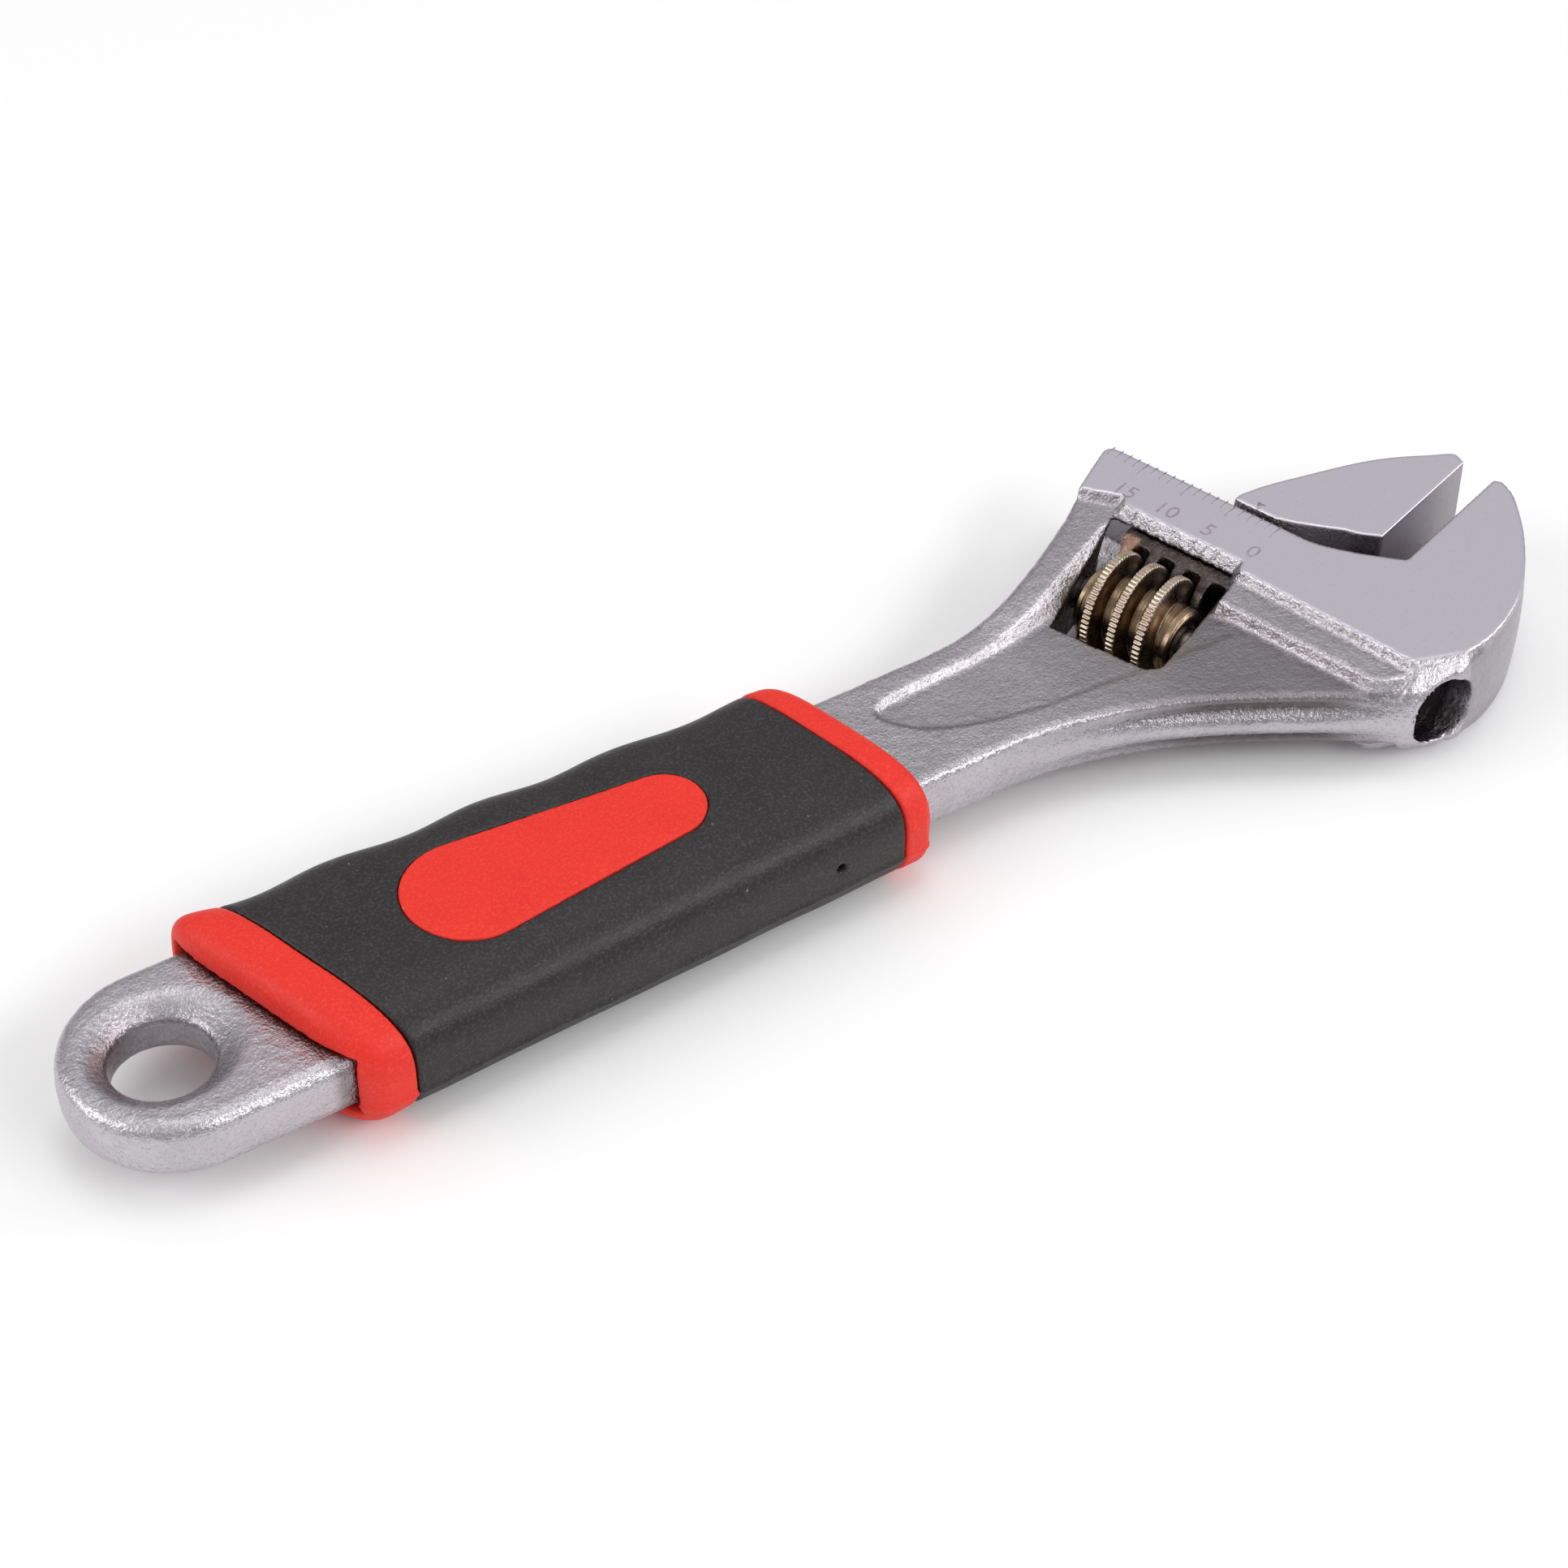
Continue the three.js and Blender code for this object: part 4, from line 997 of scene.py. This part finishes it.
def rear_collar_field(x, y, z):
    edge = -past_rear(x, y, REAR_COLLAR)
    crown = REAR_CROWN * np.sin(math.pi * np.clip(-edge / REAR_COLLAR, 0, 1))
    field = grip_blank(x, y, z, crown) - 0.03 * ripple(x, y, z, 5, 31)
    field = smooth_max(field, edge + SEAM, 0.3) - parting_line(x, y, z, 0.12)
    lip = ease(1 + past_rear(x, y) / REAR_LIP[1])
    hole = shank_hole(x, y, z) - REAR_LIP[0] * lip + 0.09 * lip * ripple(x, y, z, 1.1, 35)
    return smooth_max(field, -hole, 0.4)


def front_collar_field(x, y, z):
    edge = -past_front(x, y, FRONT_COLLAR)
    field = grip_blank(x, y, z, FRONT_CROWN) - 0.02 * ripple(x, y, z, 5, 32)
    field = smooth_max(field, edge + SEAM, 0.25) - parting_line(x, y, z, 0.1)
    lip = ease(1 + past_front(x, y) / FRONT_LIP[1])
    return smooth_max(field, FRONT_LIP[0] * lip - shank_hole(x, y, z), 0.3)


def sleeve_field(x, y, z):
    ends = np.maximum(past_rear(x, y, REAR_COLLAR), past_front(x, y, FRONT_COLLAR))
    blank = grip_blank(x, y, z)
    field = blank - 0.03 * ripple(x, y, z, 9, 33) - parting_line(x, y, z, 0.16)
    field = smooth_max(field, ends + SEAM, 0.25)
    field = np.maximum(field, -shank_hole(x, y, z))
    floor = -BADGE_DEPTH - BADGE_FLOOR_GAP - blank
    recess = np.maximum(badge_distance(x, y) - BADGE_SIDE_GAP[0], floor)
    field = smooth_max(field, -recess, 0.1)
    gate = np.hypot(x - GATE[0], z - GATE[1]) - GATE_RADIUS
    gate = np.maximum(gate, y + GRIP_FRONT_HALF - GATE_DEPTH)
    return smooth_max(field, -gate, 0.25)


def badge_field(x, y, z):
    """The inlays of both sides; make_badge meshes the upper one."""
    blank = grip_blank(x, y, z)
    shell = np.maximum(blank - BADGE_RISE, -BADGE_DEPTH - blank)
    return smooth_max(badge_distance(x, y) + BADGE_SIDE_GAP[1], shell, 0.12)


def make_moulding(name, node, field, rear, front, material):
    """One grip piece, meshed between two places along the handle."""
    low = (rear, -13.5, -GRIP_HALF_THICKNESS - 0.6)
    high = (front, 13.8, GRIP_HALF_THICKNESS + 0.6)
    points, faces = surface_net(field, low, high, CELL)
    points = smooth_points(points, faces, 4)
    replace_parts(mesh_object(name, world_of_handle(points), faces, "frame", material), node)


def make_badge(name, node, side):
    (xa, ra), (xb, rb) = BADGE_REAR, BADGE_FRONT
    low = (xa - ra - 0.5, -6.6, GRIP_HALF_THICKNESS - 1.6)
    high = (xb + rb + 0.5, 6.6, GRIP_HALF_THICKNESS + 0.4)
    points, faces = surface_net(badge_field, low, high, BADGE_CELL)
    points = smooth_points(points, faces, 4)
    if side < 0:
        points[:, 2] *= -1
        faces = faces[:, ::-1]
    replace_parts(mesh_object(name, world_of_handle(points), faces, "frame", RED), node)


def make_grip():
    for name, node, field, rear, front, material, slot in (
        ("rear_collar_moulding", "rear_collar", rear_collar_field, -111, -96, RED, "red_rubber"),
        ("front_collar_moulding", "front_collar", front_collar_field, -55, -44.5, RED, "red_rubber"),
        ("sleeve_moulding", "grip_sleeve", sleeve_field, -106, -46.5, BLACK, "black_rubber"),
    ):
        make_moulding(name, node, field, rear, front, material)
    make_badge("badge_top_inlay", "badge_top", 1)
    make_badge("badge_bottom_inlay", "badge_bottom", -1)


# ---------- scale ----------

MARK_HALF_THICKNESS = 0.012
TICKS = 20
TICK_WIDTH = 0.12
TICK_START_J = RAIL_J - 0.25
LONG_TICK = 2.1
SHORT_TICK = 1.35
NUMERALS = (("0", 0), ("5", -5), ("10", -9.7), ("15", -14.4))
NUMERAL_J = RAIL_J - 4.9
NUMERAL_SIZE = 2.5
NUMERAL_HALF_HEIGHT = 0.87
POINTER_TIP = (-3.3, RAIL_J + 0.45)
POINTER_HALF_WIDTH = 0.45
POINTER_LENGTH = 1.0


# faces of a plate, from its number of sides: its lower corners come first, then its upper ones
PRISM_FACES = {
    3: ((2, 1, 0), (3, 4, 5), (0, 1, 4), (0, 4, 3), (1, 2, 5), (1, 5, 4), (2, 0, 3), (2, 3, 5)),
    4: ((0, 3, 2, 1), (4, 5, 6, 7), (0, 1, 5, 4), (1, 2, 6, 5), (2, 3, 7, 6), (3, 0, 4, 7)),
}


def prism(corners, start):
    """Points and faces of a thin plate on the head's flat face, from its outline turning left."""
    heights = (HEAD_HALF - MARK_HALF_THICKNESS, HEAD_HALF + MARK_HALF_THICKNESS)
    points = [(s, j, z) for z in heights for s, j in corners]
    return points, [[start + i for i in face] for face in PRISM_FACES[len(corners)]]


def make_scale():
    """A mark for each millimetre that the jaws can open, each fifth one longer."""
    points, faces = [], []
    half = TICK_WIDTH / 2
    for mm in range(TICKS):
        end = TICK_START_J - (LONG_TICK if mm % 5 == 0 else SHORT_TICK)
        corners = [
            (-mm - half, TICK_START_J), (-mm - half, end), (-mm + half, end), (-mm + half, TICK_START_J),
        ]
        more_points, more_faces = prism(corners, len(points))
        points += more_points
        faces += more_faces
    world = world_of_jaw(np.array(points))
    mesh_object("scale_marks", world, np.array(faces), "frame", MARK)


def make_numeral(text, s):
    curve = bpy.data.curves.new("numeral", "FONT")
    curve.body = text
    curve.size = NUMERAL_SIZE * MM
    curve.align_x = "CENTER"
    curve.extrude = MARK_HALF_THICKNESS * MM
    curve.resolution_u = 4
    shape = bpy.data.objects.new("numeral", curve)
    bpy.context.scene.collection.objects.link(shape)
    bpy.context.view_layer.update()
    mesh = bpy.data.meshes.new_from_object(shape)
    bpy.data.objects.remove(shape)
    bpy.data.curves.remove(curve)
    place = Vector(world_of_jaw(np.array([[s, NUMERAL_J, HEAD_HALF]]))[0])
    turn = Matrix.Rotation(math.atan2(ALONG[1], ALONG[0]), 4, "Z")
    centred = Matrix.Translation((0, -NUMERAL_HALF_HEIGHT * MM, 0))
    mesh.transform(Matrix.Translation(place) @ turn @ centred)
    piece = bpy.data.objects.new("scale_numeral_" + text, mesh)
    bpy.context.scene.collection.objects.link(piece)
    mesh.materials.clear()
    mesh.materials.append(MARK)
    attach(piece, "frame")


def make_pointer():
    """The small triangle on the movable jaw that reads the scale."""
    s, j = POINTER_TIP
    top = j + POINTER_LENGTH
    points, faces = prism([(s, j), (s + POINTER_HALF_WIDTH, top), (s - POINTER_HALF_WIDTH, top)], 0)
    world = world_of_jaw(np.array(points))
    mesh_object("scale_pointer", world, np.array(faces), "movable_jaw", MARK)


# ---------- setting ----------

FLOOR_HALF = 3.0
FLOOR_TONE = rgb(0.97, 0.97, 0.97)
WORLD_TONE = rgb(1.0, 0.995, 1.0)
WORLD_RAMP = {"From Min": 0.02, "From Max": 0.5, "To Min": 0.07, "To Max": 0.66}
# name, direction, distance, width and height in metres, power in watts
LIGHTS = (
    ("left_box", (-0.79, 0.23, 0.51), 0.9, (0.6, 0.46), 2.2),
    ("front_box", (0.32, -0.71, 0.62), 0.9, (0.62, 0.2), 2.2),
    ("top_box", (0.1, 0.1, 1.0), 1.0, (0.4, 0.4), 1.1),
    ("right_box", (0.84, -0.33, 0.42), 0.9, (0.4, 0.34), 1.4),
)
# angles in degrees and lengths in millimetres, in the jaw frame; azimuth turns from -j towards s
CAMERA_AZIMUTH = 39.392
CAMERA_ELEVATION = 43.055
CAMERA_ROLL = -0.125
CAMERA_DISTANCE = 314.42
CAMERA_TARGET = (-13.677, -55.265, HEAD_HALF)
SENSOR_WIDTH = 36.0
LENS = 83.851


def make_floor():
    material = bpy.data.materials.new("floor")
    Nodes(material).set(Base_Color=FLOOR_TONE, Roughness=0.9)
    half = FLOOR_HALF
    corners = [(-half, -half, 0), (half, -half, 0), (half, half, 0), (-half, half, 0)]
    mesh = bpy.data.meshes.new("floor")
    mesh.from_pydata(corners, [], [(0, 1, 2, 3)])
    mesh.materials.append(material)
    floor = bpy.data.objects.new("floor", mesh)
    bpy.context.scene.collection.objects.link(floor)


def make_light(name, toward, distance, size, power):
    """A softbox in a direction from the object's middle, facing it."""
    direction = Vector(toward).normalized()
    light = bpy.data.lights.new(name, "AREA")
    light.shape = "RECTANGLE"
    light.size, light.size_y = size
    light.energy = power
    lamp = bpy.data.objects.new(name, light)
    lamp.location = direction * distance
    lamp.rotation_euler = direction.to_track_quat("Z", "Y").to_euler()
    bpy.context.scene.collection.objects.link(lamp)


def make_world():
    """A pale sky that darkens towards the horizon."""
    world = bpy.data.worlds.new("studio")
    bpy.context.scene.world = world
    world.use_nodes = True
    tree = world.node_tree
    height = tree.nodes.new("ShaderNodeSeparateXYZ")
    tree.links.new(tree.nodes.new("ShaderNodeTexCoord").outputs["Generated"], height.inputs[0])
    ramp = tree.nodes.new("ShaderNodeMapRange")
    ramp.interpolation_type = "SMOOTHSTEP"
    tree.links.new(height.outputs["Z"], ramp.inputs["Value"])
    for socket, value in WORLD_RAMP.items():
        ramp.inputs[socket].default_value = value
    background = tree.nodes["Background"]
    background.inputs["Color"].default_value = WORLD_TONE
    tree.links.new(ramp.outputs["Result"], background.inputs["Strength"])


def make_camera():
    data = bpy.data.cameras.new("camera")
    data.sensor_width = SENSOR_WIDTH
    data.lens = LENS
    data.clip_start = 0.01
    data.clip_end = 20
    camera = bpy.data.objects.new("camera", data)
    bpy.context.scene.collection.objects.link(camera)
    azimuth, elevation = math.radians(CAMERA_AZIMUTH), math.radians(CAMERA_ELEVATION)
    level = math.cos(elevation)
    back = np.array([math.sin(azimuth) * level, -math.cos(azimuth) * level, math.sin(elevation)])
    places = np.array([CAMERA_TARGET, CAMERA_TARGET + CAMERA_DISTANCE * back])
    target, eye = (Vector(place) for place in world_of_jaw(places))
    turn = (eye - target).to_track_quat("Z", "Y").to_matrix().to_4x4()
    roll = Matrix.Rotation(math.radians(CAMERA_ROLL), 4, "Z")
    camera.matrix_world = Matrix.Translation(eye) @ turn @ roll
    bpy.context.scene.camera = camera


make_camera()
make_world()
make_floor()
for light_settings in LIGHTS:
    make_light(*light_settings)
make_body()
make_movable_jaw()
make_worm()
make_grip()
make_scale()
for numeral, s_place in NUMERALS:
    make_numeral(numeral, s_place)
make_pointer()
for node_name in ("worm_pin", "worm_spring"):
    node = frame["nodes"][node_name]
    node.data.materials.clear()
    node.data.materials.append(STEEL)

view = bpy.context.scene.view_settings
view.view_transform = "Standard"
view.look = "None"
